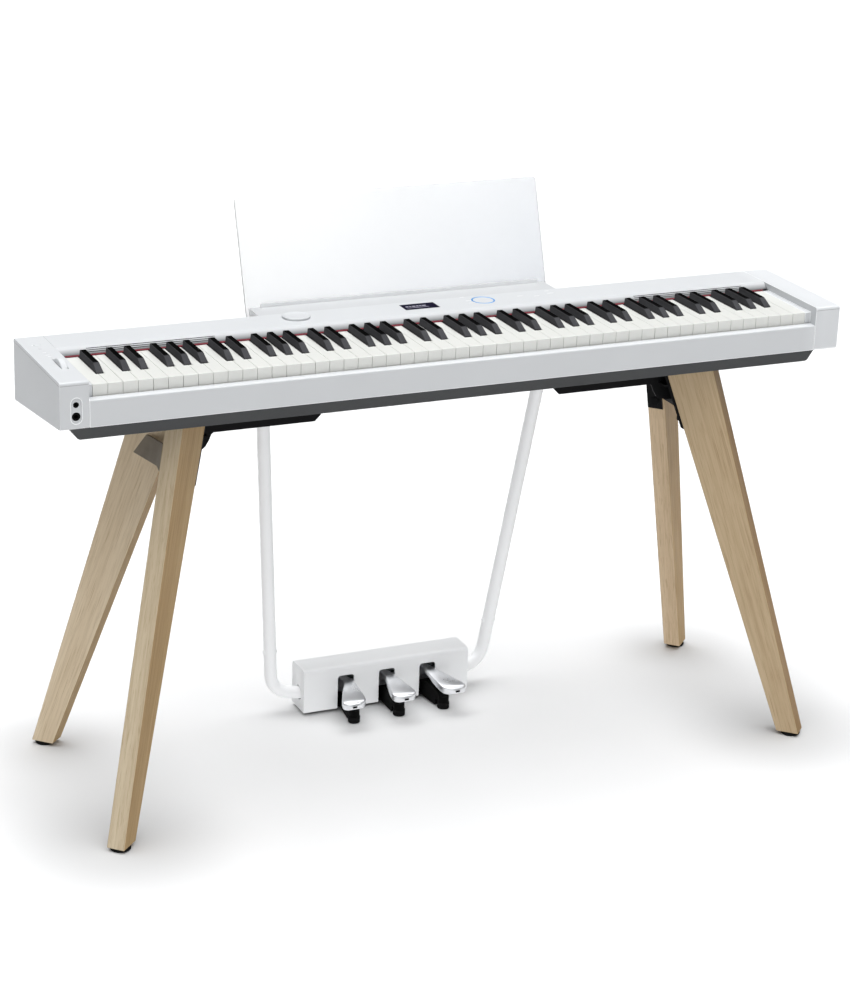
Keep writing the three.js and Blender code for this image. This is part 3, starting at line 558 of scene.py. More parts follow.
def studio_camera():
    """The photo's viewpoint, with its small roll."""
    data = bpy.data.cameras.new("camera")
    data.sensor_width = SENSOR
    data.lens = LENS
    data.shift_x, data.shift_y = SHIFT
    data.clip_end = 200
    cam = in_scene("camera", data)
    ahead = Vector((-math.sin(YAW) * math.cos(PITCH), math.cos(YAW) * math.cos(PITCH),
                    math.sin(PITCH)))
    side = ahead.cross(Vector((0, 0, 1))).normalized()
    above = side.cross(ahead)
    right = side * math.cos(ROLL) + above * math.sin(ROLL)
    up = above * math.cos(ROLL) - side * math.sin(ROLL)
    turned = Matrix((right, up, -ahead)).transposed().to_4x4()
    cam.matrix_world = Matrix.Translation(CAMERA_AT) @ turned
    bpy.context.scene.camera = cam


def studio_floor():
    """A pale floor with soft shade about the feet and under each pair of legs."""
    bm = bmesh.new()
    bmesh.ops.create_grid(bm, x_segments=8, y_segments=8, size=FLOOR_HALF)
    floor = in_scene("floor", mesh_from("floor", bm))
    f = Finish("floor", Specular_IOR_Level=0.0)
    tone = f.ramp(f.noise(3, 2, 0.5), [(0.3, (0.85, 0.85, 0.85)), (0.7, (0.87, 0.87, 0.87))])
    for end in ("left", "right"):
        # Each spot's place, its reach sideways and in depth, and how dark it is.
        front, rear = (centre_of(f"glide_{row}_{end}") for row in ("front", "rear"))
        for spot, wide, deep, dark in ((front, 0.26, 0.26, 0.2), (rear, 0.17, 0.17, 0.14),
                                       ((front + rear) / 2, 0.28, 0.44, 0.16)):
            tone = f.mix("MULTIPLY", 1.0, tone, f.soft_spot(spot, wide, deep, dark))
    f.colour(tone)
    f.rough(f.spread(f.noise(50, 2, 0.5), 0.85, 0.95))
    floor.data.materials.append(f.material)
    floor.visible_diffuse = floor.visible_shadow = False


def studio_backdrop():
    """A pale dome that only the camera sees, above the floor's far edge."""
    bm = bmesh.new()
    bmesh.ops.create_uvsphere(bm, u_segments=48, v_segments=24, radius=DOME_RADIUS)
    dome = in_scene("backdrop", mesh_from("backdrop", bm))
    f = Finish("backdrop", Roughness=1.0, Emission_Strength=1.0)
    tone = f.ramp(f.noise(0.2, 1, 0.5), [(0.3, (0.97, 0.97, 0.97)), (0.7, (0.99, 0.99, 0.99))])
    f.colour(tone)
    f.link(tone, f.shader.inputs["Emission Color"])
    dome.data.materials.append(f.material)
    dome.visible_diffuse = dome.visible_glossy = dome.visible_shadow = False
    dome.visible_volume_scatter = False


def studio_light():
    """Soft light from above, a wide soft lobe from the front left, and a pale floor's bounce."""
    world = bpy.data.worlds.new("studio")
    world.use_nodes = True
    tree = world.node_tree
    tree.nodes.clear()

    def add(kind, **settings):
        return add_node(tree, kind, **settings)

    def limits(node, kind, low, high):
        node.inputs[kind + " Min"].default_value = low
        node.inputs[kind + " Max"].default_value = high

    out, sky = add("ShaderNodeOutputWorld"), add("ShaderNodeBackground")
    place, split = add("ShaderNodeTexCoord"), add("ShaderNodeSeparateXYZ")
    toward = add("ShaderNodeVectorMath", operation="DOT_PRODUCT")
    side = add("ShaderNodeMath", operation="MULTIPLY_ADD")
    dimmest = add("ShaderNodeMath", operation="MAXIMUM")
    rise = add("ShaderNodeMapRange", interpolation_type="SMOOTHSTEP")
    weight = add("ShaderNodeMapRange", interpolation_type="SMOOTHSTEP")
    weighed = add("ShaderNodeMath", operation="MULTIPLY")
    total = add("ShaderNodeMath", operation="ADD")
    toward.inputs[1].default_value = Vector(LOBE_FROM).normalized()
    side.inputs[1].default_value, side.inputs[2].default_value = LOBE_GAIN, AMBIENT
    dimmest.inputs[1].default_value = DIMMEST
    limits(rise, "From", 0.6, 0.95)
    limits(rise, "To", 0.0, OVERHEAD)
    limits(weight, "From", -0.15, 0.15)
    limits(weight, "To", FROM_BELOW, FROM_ABOVE)
    sky.inputs["Color"].default_value = (0.985, 0.992, 1, 1)
    direction, height = place.outputs["Generated"], split.outputs["Z"]
    for source, target in (
            (direction, split.inputs[0]), (direction, toward.inputs[0]),
            (toward.outputs["Value"], side.inputs[0]), (side.outputs[0], dimmest.inputs[0]),
            (height, rise.inputs["Value"]), (height, weight.inputs["Value"]),
            (dimmest.outputs[0], weighed.inputs[0]), (weight.outputs["Result"], weighed.inputs[1]),
            (weighed.outputs[0], total.inputs[0]), (rise.outputs["Result"], total.inputs[1]),
            (total.outputs[0], sky.inputs["Strength"]), (sky.outputs[0], out.inputs["Surface"])):
        tree.links.new(source, target)
    bpy.context.scene.world = world
    bpy.context.scene.view_settings.view_transform = "Standard"


studio_camera()
studio_floor()
studio_backdrop()
studio_light()


# ---------------------------------------- stand

# Painted light and shade: what each leg's lit and shaded tones are multiplied by.
OAK_LIGHT_AND_SHADE = {"front_left": ((0.94, 0.93, 0.9), (0.87, 0.82, 0.74)),
             "front_right": ((0.88, 0.79, 0.67), (0.55, 0.46, 0.33)),
             "rear_left": ((1.14, 1.12, 1.1), (0.8, 0.74, 0.64)),
             "rear_right": ((1.12, 1.02, 0.93), (0.9, 0.83, 0.7))}


def oak_leg(corner):
    """The leg's board with eased edges; the grain follows its slope."""
    node = "leg_" + corner
    bm = whole_faces(node)
    low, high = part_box(node)
    foot = [v.co for v in bm.verts if v.co.z < low.z + MM]
    head = [v.co for v in bm.verts if v.co.z > high.z - MM]
    along = (sum(head, Vector()) / len(head) - sum(foot, Vector()) / len(foot)).normalized()
    wide = Vector((along.x, along.y, 0)).normalized()
    across = along.cross(wide).normalized()
    turn = Matrix((across.cross(along), across, along)).to_euler()
    finish = oak_finish("oak_" + node, turn, OAK_LIGHT_AND_SHADE[corner])
    soften(piece(node + "_fine", bm, BODY_OF[node], "oak", finish, [node]), 1.6 * MM, 4)


def glide_profile(r, h):
    return [(0, 0), (r - 2.2, 0), (r - 1.2, 0.3), (r - 0.3, 1), (r, 1.8), (r, 3), (r - 0.4, 3.4),
            (r - 1.3, 3.5), (r - 1.3, 4), (r - 0.7, 4.2), (r - 0.5, 4.6), (r - 0.7, h - 0.3),
            (r - 1.1, h), (0, h)]


def leg_cheek():
    """The bracket's small cheek over the front right leg's inner top corner."""
    verts = [v.co for v in whole_faces("leg_front_right").verts]
    high = max(v.z for v in verts)
    head = sorted((v for v in verts if v.z > high - MM), key=lambda v: v.x)
    foot = sorted((v for v in verts if v.z < high - 100 * MM), key=lambda v: v.x)
    corner = min(head[:2], key=lambda v: v.y).copy()
    far = min(head[2:], key=lambda v: v.y).copy()
    down = (min(foot[:2], key=lambda v: v.y) - corner).normalized()
    across = (far - corner).normalized()
    out = across.cross(down).normalized()
    if out.y > 0:
        out = -out
    corner += down * 0.6 * MM
    shape = [corner, corner + across * 9 * MM, corner + across * 8 * MM + down * 3 * MM,
             corner + across * 2.5 * MM + down * 17 * MM, corner + down * 25 * MM]
    bm = bmesh.new()
    add_loft(bm, [[p + out * step * MM for p in shape] for step in (0.1, 0.5, 0.9)])
    piece("leg_cheek", bm, "piano", "black_steel")


for corner in OAK_LIGHT_AND_SHADE:
    oak_leg(corner)
    lathed("glide_" + corner, glide_profile, "rubber")
leg_cheek()
for end in ("left", "right"):
    refine("stand_bracket_" + end, 0.7 * MM, 2)
    refine("leg_tie_" + end, 0.6 * MM, 2)


# ---------------------------------------- body

def outline_strip(name, runs, half_wide, material, proud):
    """Thin raised lines, each from a to b on a flat face that looks out."""
    bm = bmesh.new()
    for a, b, out in runs:
        a, b, out = Vector(a), Vector(b), Vector(out)
        run = (b - a).normalized()
        side = run.cross(out) * half_wide
        lift, sink = out * proud, out * -0.3 * MM
        corners = [a + side, b + side, b - side, a - side]
        add_loft(bm, [[c + level for c in corners] for level in (sink, lift)])
    soften(piece(name, bm, "piano", "white_shell", material), 0.04 * MM, 1)


CAP_WIDE, CAP_TALL = 45.2 * MM, 5.2 * MM


def cap_seam(end):
    """The joint line between an end block's top cap and its sides."""
    low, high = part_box("end_block_" + end)
    outer, way = (low.x, 1) if end == "left" else (high.x, -1)
    inset = 0.8 * MM
    near, far = outer + way * inset, outer + way * (CAP_WIDE - inset)
    z = high.z - CAP_TALL
    outline_strip(f"cap_seam_{end}", [
        ((near, low.y, z), (far, low.y, z), (0, -1, 0)),
        ((outer, low.y + inset, z), (outer, high.y - inset, z), (-way, 0, 0)),
        ((near, high.y, z), (far, high.y, z), (0, 1, 0)),
    ], 0.3 * MM, SEAM_AND_SHADOW_GREY, 0.04 * MM)


# The end blocks and the key slip take a painted highlight on their rounded edges.
for end in ("left", "right"):
    refine("end_block_" + end, 1.1 * MM, 3, edge=EDGE_HIGHLIGHT)
    cap_seam(end)
    refine("speaker_" + end, 0.4 * MM, 2)

refine("key_slip", 1.1 * MM, 3, edge=EDGE_HIGHLIGHT)
for node, width in (("lower_case", 0.8), ("control_panel", 0.3), ("rear_panel", 0.5),
                    ("key_bed", 0.6), ("main_board", 0.3), ("power_inlet", 0.3)):
    refine(node, width * MM, 2)


FALLBOARD_LEAN = 12.6 * MM
SLIT_RISES = (2.1, 4.2, 6.3)
SLIT_INNER, SLIT_OUTER = 370 * MM, 578 * MM


def sloped_fallboard():
    """The sloping strip behind the keys, with three fine slits in front of each speaker and dark
    blocks of painted shade behind them.
    """
    low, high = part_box("fallboard")
    lip, step_down = low.y + FALLBOARD_LEAN, high.z - 5.3 * MM
    outline = [(low.y, low.z), (lip, high.z), (lip, step_down), (high.y, step_down),
               (high.y, low.z)]
    bm = bmesh.new()
    add_prism(bm, outline, "x", low.x, high.x)
    tone = graded("fallboard", (0.12, 0.123, 0.127), (0.6, 0.612, 0.624), low.z + 0.5 * MM,
                  high.z - 2 * MM)
    obj = piece("fallboard_fine", bm, "piano", "white_shell", tone, ["fallboard"])
    cut, dark = bmesh.new(), bmesh.new()
    for side in (-1, 1):
        ends = sorted((side * SLIT_INNER, side * SLIT_OUTER))
        for rise in SLIT_RISES:
            y = low.y + rise * MM / (high.z - low.z) * FALLBOARD_LEAN
            heights = low.z + (rise - 0.5) * MM, low.z + (rise + 0.5) * MM
            add_block(cut, *ends, y - 2 * MM, y + 2.2 * MM, *heights)
            # A dark block behind the slit, painted shade.
            add_block(dark, *ends, y + 1.0 * MM, y + 2.1 * MM, *heights)
    cutter = in_scene("slit_cutter", mesh_from("slit_cutter", cut))
    slits = obj.modifiers.new("slits", "BOOLEAN")
    slits.object = cutter
    slits.solver = "EXACT"
    bake_modifiers(obj)
    bpy.data.objects.remove(cutter)
    soften(obj, 0.15 * MM, 2)
    piece("slit_shade_blocks", dark, "piano", "white_shell", SLIT_SHADE)


sloped_fallboard()


def felt_strip():
    """A fuzzy strip: a finely divided ribbon with an uneven front edge."""
    low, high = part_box("felt_strip")
    count = 400
    rings = []
    for i in range(count + 1):
        x = low.x + (high.x - low.x) * i / count
        wave = 0.18 * MM * math.sin(i * 2.3) + 0.1 * MM * math.sin(i * 5.1)
        top = high.z - 0.15 * MM + 0.1 * MM * math.sin(i * 3.7)
        front = low.y - 1.9 * MM + wave
        rings.append([(x, high.y, low.z), (x, front + 0.5 * MM, low.z),
                      (x, front, low.z + 0.4 * MM), (x, front, top - 0.5 * MM),
                      (x, front + 0.5 * MM, top), (x, high.y, top)])
    bm = bmesh.new()
    add_loft(bm, rings)
    piece("felt_fine", bm, "piano", "felt", stands_for=["felt_strip"])


felt_strip()


# ---------------------------------------- keyboard

KEYS_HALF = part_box("felt_strip")[1].x
WHITES = 52
KEY_PITCH = 2 * KEYS_HALF / WHITES
KEY_GAP = 0.6 * MM
NOTCH_HALF = 7 * MM
WHITE_TAIL, WHITE_WAIST = 70 * MM, 718.6 * MM
BLACK_TAIL, BLACK_WAIST, BLACK_REAR_TOP = 12 * MM, 719.5 * MM, 727.5 * MM
BLACK_TAPER_FROM = 729 * MM
# The hidden rear bars: y and z ranges and side inset, in mm.
BARS = {"white": ((90, 96), (709.6, 718.6), 0.45), "black": ((76, 88), (719.5, 727.5), 1.8)}
FIRST_SINGLE, LAST_SINGLE = 23, 29
# By white key of the octave: the name and the sideways shift in mm of the black key after it.
SHIFTS = {0: ("c_sharp", -2.4), 1: ("d_sharp", 2.4), 3: ("f_sharp", -3.2), 4: ("g_sharp", 0.0),
          5: ("a_sharp", 3.2)}
NOTES = "cdefgab"


def join_x(index):
    """Where a white key meets the next one."""
    return -KEYS_HALF + KEY_PITCH * (index + 1)


def black_after(index):
    """Centre of the black key on the join after a white key, or None."""
    found = SHIFTS.get((index - 2) % 7)
    if found is None or not 0 <= index < WHITES - 1:
        return None
    return join_x(index) + found[1] * MM


def key_body(kind, index):
    """The CAD body of a key, which has the name of its one node."""
    if index < FIRST_SINGLE:
        return f"{kind}_keys_bass"
    if index > LAST_SINGLE:
        return f"{kind}_keys_treble"
    if kind == "white":
        return "white_key_" + NOTES[index - FIRST_SINGLE]
    return "black_key_" + SHIFTS[(index - 2) % 7][0]


def white_key(index):
    """A white key, notched where a black key stands beside it."""
    low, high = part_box("white_key_d")
    black_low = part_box("black_key_g_sharp")[0]
    left, right = join_x(index - 1) + KEY_GAP / 2, join_x(index) - KEY_GAP / 2
    before, after = black_after(index - 1), black_after(index)
    tail_left = left if before is None else before + NOTCH_HALF
    tail_right = right if after is None else after - NOTCH_HALF
    notch = black_low.y - 1.5 * MM
    tail, rear = WHITE_TAIL, high.y
    head = [(left, low.y), (right, low.y)]
    if after is not None:
        head += [(right, notch), (tail_right, notch)]
    head += [(tail_right, tail), (tail_left, tail)]
    if before is not None:
        head += [(tail_left, notch), (left, notch)]
    cut = head.index((tail_left, tail))
    full = head[:cut] + [(tail_right, rear), (tail_left, rear)] + head[cut:]
    bm = bmesh.new()
    base = {p: bm.verts.new((*p, low.z)) for p in full}
    mid = {p: bm.verts.new((*p, WHITE_WAIST)) for p in full}
    top = {p: bm.verts.new((*p, high.z)) for p in head}
    bm.faces.new([base[p] for p in full][::-1])
    for outline, under, over in ((full, base, mid), (head, mid, top)):
        for p, q in zip(outline, outline[1:] + outline[:1]):
            bm.faces.new((under[p], under[q], over[q], over[p]))
    bm.faces.new([mid[p] for p in ((tail_right, tail), (tail_right, rear), (tail_left, rear),
                                   (tail_left, tail))])
    bm.faces.new([top[p] for p in head])
    bmesh.ops.recalc_face_normals(bm, faces=bm.faces)
    bmesh.ops.dissolve_limit(bm, angle_limit=0.01, verts=bm.verts, edges=bm.edges)
    lip = [e for e in bm.edges if all(abs(v.co.y - low.y) < 1e-6 and abs(v.co.z - high.z) < 1e-6
                                      for v in e.verts)]
    bmesh.ops.bevel(bm, geom=lip, offset=1.3 * MM, segments=4, affect="EDGES", profile=0.5)
    name = f"white_key_{index + 1:02d}"
    obj = piece(name, bm, key_body("white", index), "ivory")
    return soften(obj, 0.35 * MM, 2)


def black_key(index):
    """A black key: a sloping nose, sides that draw in towards the top and a low rear."""
    low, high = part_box("black_key_g_sharp")
    centre = black_after(index)
    wide = (high.x - low.x) / 2
    slim = wide - 1.0 * MM
    front = low.y
    profile = [(front, low.z), (front + 0.5 * MM, 730.6 * MM), (-57.5 * MM, 739.6 * MM),
               (-54.5 * MM, 740.8 * MM), (-51 * MM, high.z), (BLACK_TAIL, high.z),
               (BLACK_TAIL + 0.5 * MM, BLACK_REAR_TOP), (high.y, BLACK_REAR_TOP),
               (high.y, BLACK_WAIST), (70 * MM, BLACK_WAIST), (70 * MM, low.z)]
    bm = bmesh.new()
    sides = []
    for sign in (-1, 1):
        ring = []
        for y, z in profile:
            share = max(0.0, (z - BLACK_TAPER_FROM) / (high.z - BLACK_TAPER_FROM))
            ring.append(bm.verts.new((centre + sign * (wide + (slim - wide) * share), y, z)))
        sides.append(ring)
    count = len(profile)
    bm.faces.new(sides[0])
    bm.faces.new(sides[1][::-1])
    for i in range(count):
        j = (i + 1) % count
        bm.faces.new((sides[0][i], sides[1][i], sides[1][j], sides[0][j]))
    name = f"black_key_{index + 1:02d}"
    obj = piece(name, bm, key_body("black", index), "ebony")
    return soften(obj, 0.6 * MM, 3, 40)


def group_bar(kind, half):
    """The hidden rear bar that a group of keys hangs from."""
    node = f"{kind}_keys_{half}"
    low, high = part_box(node)
    (y0, y1), (z0, z1), inset = BARS[kind]
    bm = bmesh.new()
    add_block(bm, low.x + inset * MM, high.x - inset * MM, y0 * MM, y1 * MM, z0 * MM, z1 * MM)
    slot = "ivory" if kind == "white" else "ebony"
    soften(piece(f"{kind}_bar_{half}", bm, node, slot, stands_for=[node]), 1.2 * MM, 3)


for index in range(WHITES):
    made = white_key(index)
    if FIRST_SINGLE <= index <= LAST_SINGLE:
        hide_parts(key_body("white", index))
    if black_after(index) is not None:
        made = black_key(index)
        if FIRST_SINGLE <= index <= LAST_SINGLE:
            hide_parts(key_body("black", index))
for kind in ("white", "black"):
    for half in ("bass", "treble"):
        group_bar(kind, half)


# ---------------------------------------- controls

PANEL_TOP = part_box("control_panel")[1].z


def dial_profile(r, h):
    return [(0, 0), (r - 0.6, 0), (r, 0.4), (r, h - 1.2), (r - 0.15, h - 0.6), (r - 0.5, h - 0.2),
            (r - 1.0, h), (r - 1.7, h), (r - 2.3, h - 0.15), (r - 3.0, h - 0.55),
            (r - 3.8, h - 0.75), (r * 0.4, h - 0.95), (0, h - 1.0)]


def button_profile(r, h):
    return [(0, 0), (r - 0.4, 0), (r, 0.4), (r, h - 0.7), (r - 0.2, h - 0.2), (r - 0.7, h),
            (r - 1.6, h - 0.05), (r * 0.4, h - 0.3), (0, h - 0.35)]


def bend_wheel():
    """A thumb wheel with a fine ribbed rim and a hub on each side."""
    low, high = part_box("bend_wheel")
    middle = centre_of("bend_wheel")
    radius = (high.z - low.z) / 2
    half = 5 * MM
    teeth = 96
    rings = []
    stations = [(-half - 4 * MM, 3 * MM, 0), (-half, 3 * MM, 0), (-half, radius - 6 * MM, 0),
                (-half + 0.2 * MM, radius - 1.2 * MM, 0), (-half + 1.1 * MM, radius, 0.35 * MM),
                (half - 1.1 * MM, radius, 0.35 * MM), (half - 0.2 * MM, radius - 1.2 * MM, 0),
                (half, radius - 6 * MM, 0), (half, 3 * MM, 0), (half + 4 * MM, 3 * MM, 0)]
    for x, r, depth in stations:
        ring = []
        for i in range(teeth * 4):
            a = 2 * math.pi * i / (teeth * 4)
            reach = r - (depth if i % 4 in (2, 3) else 0)
            ring.append((middle.x + x, middle.y + reach * math.cos(a),
                         middle.z + reach * math.sin(a)))
        rings.append(ring)
    bm = bmesh.new()
    add_loft(bm, rings)
    obj = piece("bend_wheel_fine", bm, "bend_wheel", "white_shell", stands_for=["bend_wheel"])
    obj.data.set_sharp_from_angle(angle=math.radians(35))


def ring_mark(name, centre, radius, half_wide, material, slot, proud=0.12 * MM, steps=72):
    """A flat ring lying on the panel."""
    profile = [(radius - half_wide, -0.2 * MM), (radius + half_wide, -0.2 * MM),
               (radius + half_wide, proud * 0.7), (radius + half_wide * 0.6, proud),
               (radius - half_wide * 0.6, proud), (radius - half_wide, proud * 0.7),
               (radius - half_wide, -0.2 * MM)]
    bm = bmesh.new()
    add_lathe(bm, profile, centre, "z", steps)
    piece(name, bm, "piano", slot, material)


def dashes(name, spots, half_tall, radius, level):
    """Faint printed dashes on a level face, each given as (x, y, half length) in mm."""
    bm = bmesh.new()
    for x, y, half in spots:
        outline = [(x * MM + a, y * MM + b)
                   for a, b in rounded(half * MM, half_tall * MM, radius * MM)]
        add_prism(bm, outline, "z", level - 0.2 * MM, level + 0.05 * MM)
    piece(name, bm, "piano", "white_shell", MARK_WHITE)


def display():
    """The dark window with plain generic content: a row of blocks over a thin bar."""
    refine("display_window", 0.25 * MM, 2)
    low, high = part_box("display_window")
    bm = bmesh.new()
    wide = (high.x - low.x) - 12 * MM
    x = low.x + 6 * MM
    for run in (5, 3, 6, 4, 3, 7):
        add_block(bm, x, x + run * MM, high.y - 15 * MM, high.y - 10.5 * MM, high.z - 0.1 * MM,
                  high.z + 0.05 * MM)
        x += (run + 1.6) * MM
    add_block(bm, low.x + 6 * MM, low.x + 6 * MM + wide * 0.8, high.y - 21 * MM, high.y - 19.6 * MM,
              high.z - 0.1 * MM, high.z + 0.05 * MM)
    piece("display_content", bm, "piano", "display", SCREEN_GLOW)


lathed("volume_dial", dial_profile, "white_shell", 96)
bend_wheel()
lathed("power_button", button_profile, "white_shell", 48)
dashes("touch_marks", [(90, 63, 5), (90, 76, 5), (88, 98, 4), (184, 76, 5), (211, 68, 5),
                       (240, 76, 6), (240, 90, 4)], 0.7, 0.65, PANEL_TOP)
display()
ring_mark("touch_ring", (0.1145, 0.072, PANEL_TOP), 18.4 * MM, 1.35 * MM, BLUE_GLOW, "display")
ring_mark("power_mark", (-0.648, 0.034, PANEL_TOP), 2.2 * MM, 0.25 * MM, MARK_GREY, "white_shell",
          0.05 * MM, 32)


def recess_rim():
    """A pale rim round the recess of the two sockets, a painted highlight with a faint glow."""
    small, large = centre_of("phones_socket_small"), centre_of("phones_socket_large")
    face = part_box("end_block_left")[0].y
    half, top, bottom = 8.7 * MM, small.z + 3 * MM, large.z - 2.4 * MM
    section = [(half - 0.5 * MM, -0.15 * MM), (half + 0.5 * MM, -0.15 * MM),
               (half + 0.7 * MM, 0.2 * MM), (half - 0.5 * MM, 0.2 * MM)]
    rings = []
    for i in range(49):
        a = 2 * math.pi * i / 48
        level = top if math.sin(a) > 0 else bottom
        rings.append([(small.x + math.cos(a) * r, face + depth, level + math.sin(a) * r)
                      for r, depth in section])
    bm = bmesh.new()
    add_loft(bm, rings, False)
    bmesh.ops.remove_doubles(bm, verts=bm.verts, dist=1e-7)
    piece("recess_rim", bm, "piano", "white_shell", EDGE_HIGHLIGHT)


dashes("block_marks", [(-652, 55, 3.5), (-647, 14, 3), (-646, 1, 3.5), (-645, -7, 3)], 0.8, 0.7,
       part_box("end_block_left")[1].z)
recess_rim()
refine("phones_socket_small", 0.3 * MM, 2)
refine("phones_socket_large", 0.3 * MM, 2)


# ---------------------------------------- pedal unit

# The box's top takes painted shade.
refine("pedal_box", 0.8 * MM, 3, material=WHITE_BOX)
refine("pedal_base", 0.5 * MM, 2)
refine("pedal_axle", 0.5 * MM, 2)


def smooth_value(table, at):
    """The value at a position, on a smooth curve through (position, value) pairs."""
    pairs = sorted(table)
    if at <= pairs[0][0]:
        return pairs[0][1]
    for i in range(len(pairs) - 1):
        x1, y1 = pairs[i]
        x2, y2 = pairs[i + 1]
        if at <= x2:
            x0, y0 = pairs[i - 1] if i else (2 * x1 - x2, y1)
            x3, y3 = pairs[i + 2] if i + 2 < len(pairs) else (2 * x2 - x1, y2)
            t = (at - x1) / (x2 - x1)
            m1 = (y2 - y0) / (x2 - x0) * (x2 - x1)
            m2 = (y3 - y1) / (x3 - x1) * (x2 - x1)
            return ((2 * t**3 - 3 * t**2 + 1) * y1 + (t**3 - 2 * t**2 + t) * m1
                    + (3 * t**2 - 2 * t**3) * y2 + (t**3 - t**2) * m2)
    return pairs[-1][1]


PEDAL_MIDDLE, PEDAL_PITCH = -2.5, 77
PEDAL_REAR, PEDAL_TIP = 181, 65.3


def pedal_line(fan, y):
    """The x of a pedal's middle line in mm: straight at the rear, then fanning out."""
    return PEDAL_MIDDLE + fan * PEDAL_PITCH + fan * 19 * max(0, 140 - y) / 74


def chrome_pedal(name, fan):
    """A cast lever that widens to a round, softly crowned tip."""
    node = "pedal_" + name
    widths = [(181, 7), (160, 8.4), (140, 10.2), (125, 13), (110, 16.6), (95, 19.7), (84, 21.3),
              (77, 21.5), (72.5, 20), (69.5, 17), (67.2, 12.5), (66, 8.2), (65.3, 4)]
    tops = [(181, 52.8), (150, 57), (138, 56.9), (110, 54), (75, 50.3), (69.5, 48.8), (66, 45.5),
            (65.3, 43)]
    unders = [(181, 37), (160, 38), (150, 43), (138, 47.8), (110, 43), (80, 38.5), (69, 37.4),
              (66, 38.6), (65.3, 40)]
    rings = []
    spots = [PEDAL_REAR - 2.1 * i for i in range(50)] + [74, 72, 70, 68.6, 67.5, 66.7, 66, 65.6]
    for y in sorted({round(s, 2) for s in spots + [PEDAL_TIP]}, reverse=True):
        half = smooth_value(widths, y)
        top, under = smooth_value(tops, y), smooth_value(unders, y)
        mid = pedal_line(fan, y)
        tall = (top - under) / 2
        ring = []
        for a, b in rounded(half, tall, min(2.6, half * 0.6, tall * 0.7), 3):
            crown = 0.5 * (1 - (a / half) ** 2) if b > 0 else 0
            ring.append(((mid + a) * MM, y * MM, (under + tall + b - 0.5 + crown) * MM))
        rings.append(ring)
    bm = bmesh.new()
    add_loft(bm, rings)
    axle = centre_of("pedal_axle")
    hub = [(4.35, -7), (7.2, -7), (7.8, -6.4), (7.8, 6.4), (7.2, 7), (4.35, 7), (4.35, -7)]
    place = pedal_line(fan, PEDAL_REAR) * MM, axle.y, axle.z
    add_lathe(bm, [(r * MM, h * MM) for r, h in hub], place, "x", 40)
    nose = bmesh.new()
    tip = pedal_line(fan, 65)
    outline = [((tip + a) * MM, (42.2 + b) * MM) for a, b in rounded(4, 1.6, 0.6)]
    add_prism(nose, outline, "y", 64.95 * MM, 67.5 * MM)
    piece(node + "_notch", nose, BODY_OF[node], "black_plastic")
    piece(node + "_fine", bm, BODY_OF[node], "chrome", stands_for=[node])


def foot_profile(r, h):
    return [(0, 0), (r - 1.4, 0), (r - 0.4, 0.4), (r, 1.2), (r, 5.2), (r - 0.7, 5.6),
            (r - 0.7, 6.4), (r, 6.8), (r, h - 1), (r - 0.5, h - 0.3), (r - 1.2, h), (0, h)]


def bent_path(points, setback, steps=16):
    """Straight runs joined by smooth bends, as a list of points."""
    path = [points[0]]
    for before, corner, after in zip(points, points[1:], points[2:]):
        enter = corner + (before - corner).normalized() * setback
        leave = corner + (after - corner).normalized() * setback
        for i in range(steps + 1):
            t = i / steps
            path.append(enter * (1 - t) ** 2 + corner * 2 * t * (1 - t) + leave * t * t)
    path.append(points[-1])
    return path


def sweep_rings(path, radius, sides=40):
    """Circles round a path, turned as little as possible from one to the next."""
    rings = []
    side = None
    for i, point in enumerate(path):
        ahead = (path[min(i + 1, len(path) - 1)] - path[max(i - 1, 0)]).normalized()
        if side is None:
            side = ahead.cross(Vector((0, 1, 0))).normalized()
        side = (side - ahead * side.dot(ahead)).normalized()
        up = ahead.cross(side)
        rings.append([point + side * radius * math.cos(2 * math.pi * k / sides)
                      + up * radius * math.sin(2 * math.pi * k / sides) for k in range(sides)])
    return rings


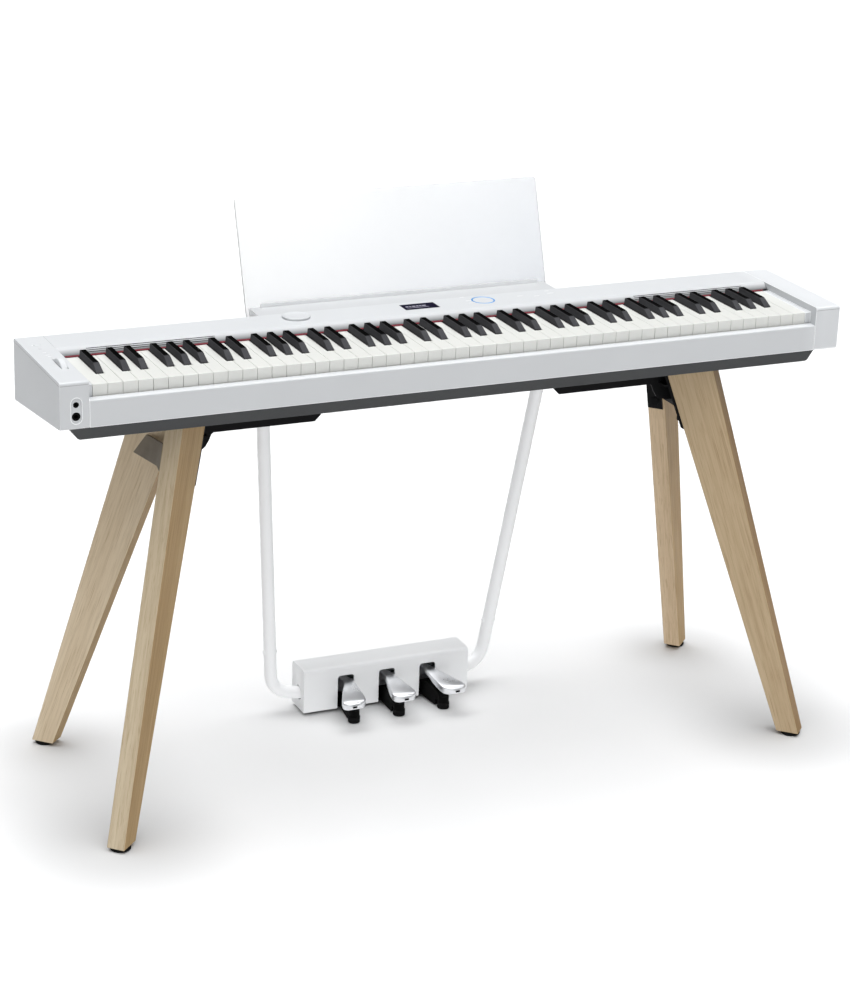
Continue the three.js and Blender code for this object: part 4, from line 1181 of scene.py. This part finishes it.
def hanger_tube(name, side):
    """A bent tube from the pedal unit up to its foot plate, with a screw on each side."""
    node = "pedal_tube_" + name
    middle = centre_of("pedal_box").x
    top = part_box(node)[1].z
    points = [Vector((middle + side * half * MM, y * MM, z * MM)) for half, y, z in
              ((141.2, 165.8, 35.5), (199, 187.6, 36), (252.2, 107.4, 600), (253.9, 85.5, 635))]
    bm = bmesh.new()
    add_loft(bm, sweep_rings(bent_path(points, 36 * MM), 11 * MM))
    plate = [(middle + side * 254 * MM + a, 81 * MM + b)
             for a, b in rounded(30 * MM, 13 * MM, 4 * MM, 6)]
    add_prism(bm, plate, "z", top - 4 * MM, top)
    screw = [(0, 0), (4.4, 0), (4.4, 0.9), (3.8, 1.6), (2.2, 2.1), (1.8, 1.2), (0, 1.2)]
    for way in (-1, 1):
        turned = [(r * MM, way * h * MM) for r, h in screw]
        spot = (middle + side * 206.8 * MM + way * 10.4 * MM, 175.8 * MM, 118 * MM)
        add_lathe(bm, turned, spot, "x", 24)
    obj = piece(node + "_fine", bm, "piano", "white_tube", stands_for=[node])
    obj.data.set_sharp_from_angle(angle=math.radians(50))


for name, fan in (("left", -1), ("middle", 0), ("right", 1)):
    chrome_pedal(name, fan)
    lathed("pedal_foot_" + name, foot_profile, "rubber", 48)
for name, side in (("left", -1), ("right", 1)):
    hanger_tube(name, side)


# ---------------------------------------- music rest

def holder():
    """The ledge for the rest, with painted shade on its level faces and a painted shadow line at
    the foot of its lip.
    """
    refine("rest_holder", 0.5 * MM, 2, material=HOLDER_WHITE)
    low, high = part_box("rest_holder")
    foot = [(x, low.y + 44.6 * MM, high.z - 6 * MM) for x in (low.x + 19 * MM, high.x - 13 * MM)]
    # A grey strip of painted shadow in the crease at the foot of the lip.
    outline_strip("lip_shadow_line", [(*foot, (0, 0, 1))], 1.5 * MM, SEAM_AND_SHADOW_GREY, 0.03 * MM)


holder()


REST_LEAN, REST_THICK = 0.33, 4 * MM


def music_rest():
    """A clear panel with rounded corners and eased edges, leaning in its holder."""
    low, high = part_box("music_rest")
    rise, run = math.cos(REST_LEAN), math.sin(REST_LEAN)
    up, behind = Vector((0, run, rise)), Vector((0, rise, -run))
    centre = centre_of("music_rest")
    tall = (high.z - low.z - REST_THICK * run) / rise
    half_wide = (high.x - low.x) / 2
    bm = bmesh.new()
    rings = []
    for along in (-REST_THICK / 2, REST_THICK / 2):
        rings.append([centre + behind * along + Vector((a, 0, 0)) + up * b
                      for a, b in rounded(half_wide, tall / 2, 5 * MM, 8)])
    add_loft(bm, rings)
    obj = piece("music_rest_fine", bm, "music_rest", "acrylic", stands_for=["music_rest"])
    # The edge faces take the grey of painted shade.
    obj.data.materials.append(CLEAR_EDGE_SHADE)
    for face in obj.data.polygons:
        face.material_index = 1 if abs(face.normal.dot(behind)) < 0.5 else 0
    obj.visible_diffuse = obj.visible_glossy = obj.visible_shadow = False
    soften(obj, 0.4 * MM, 3)


music_rest()
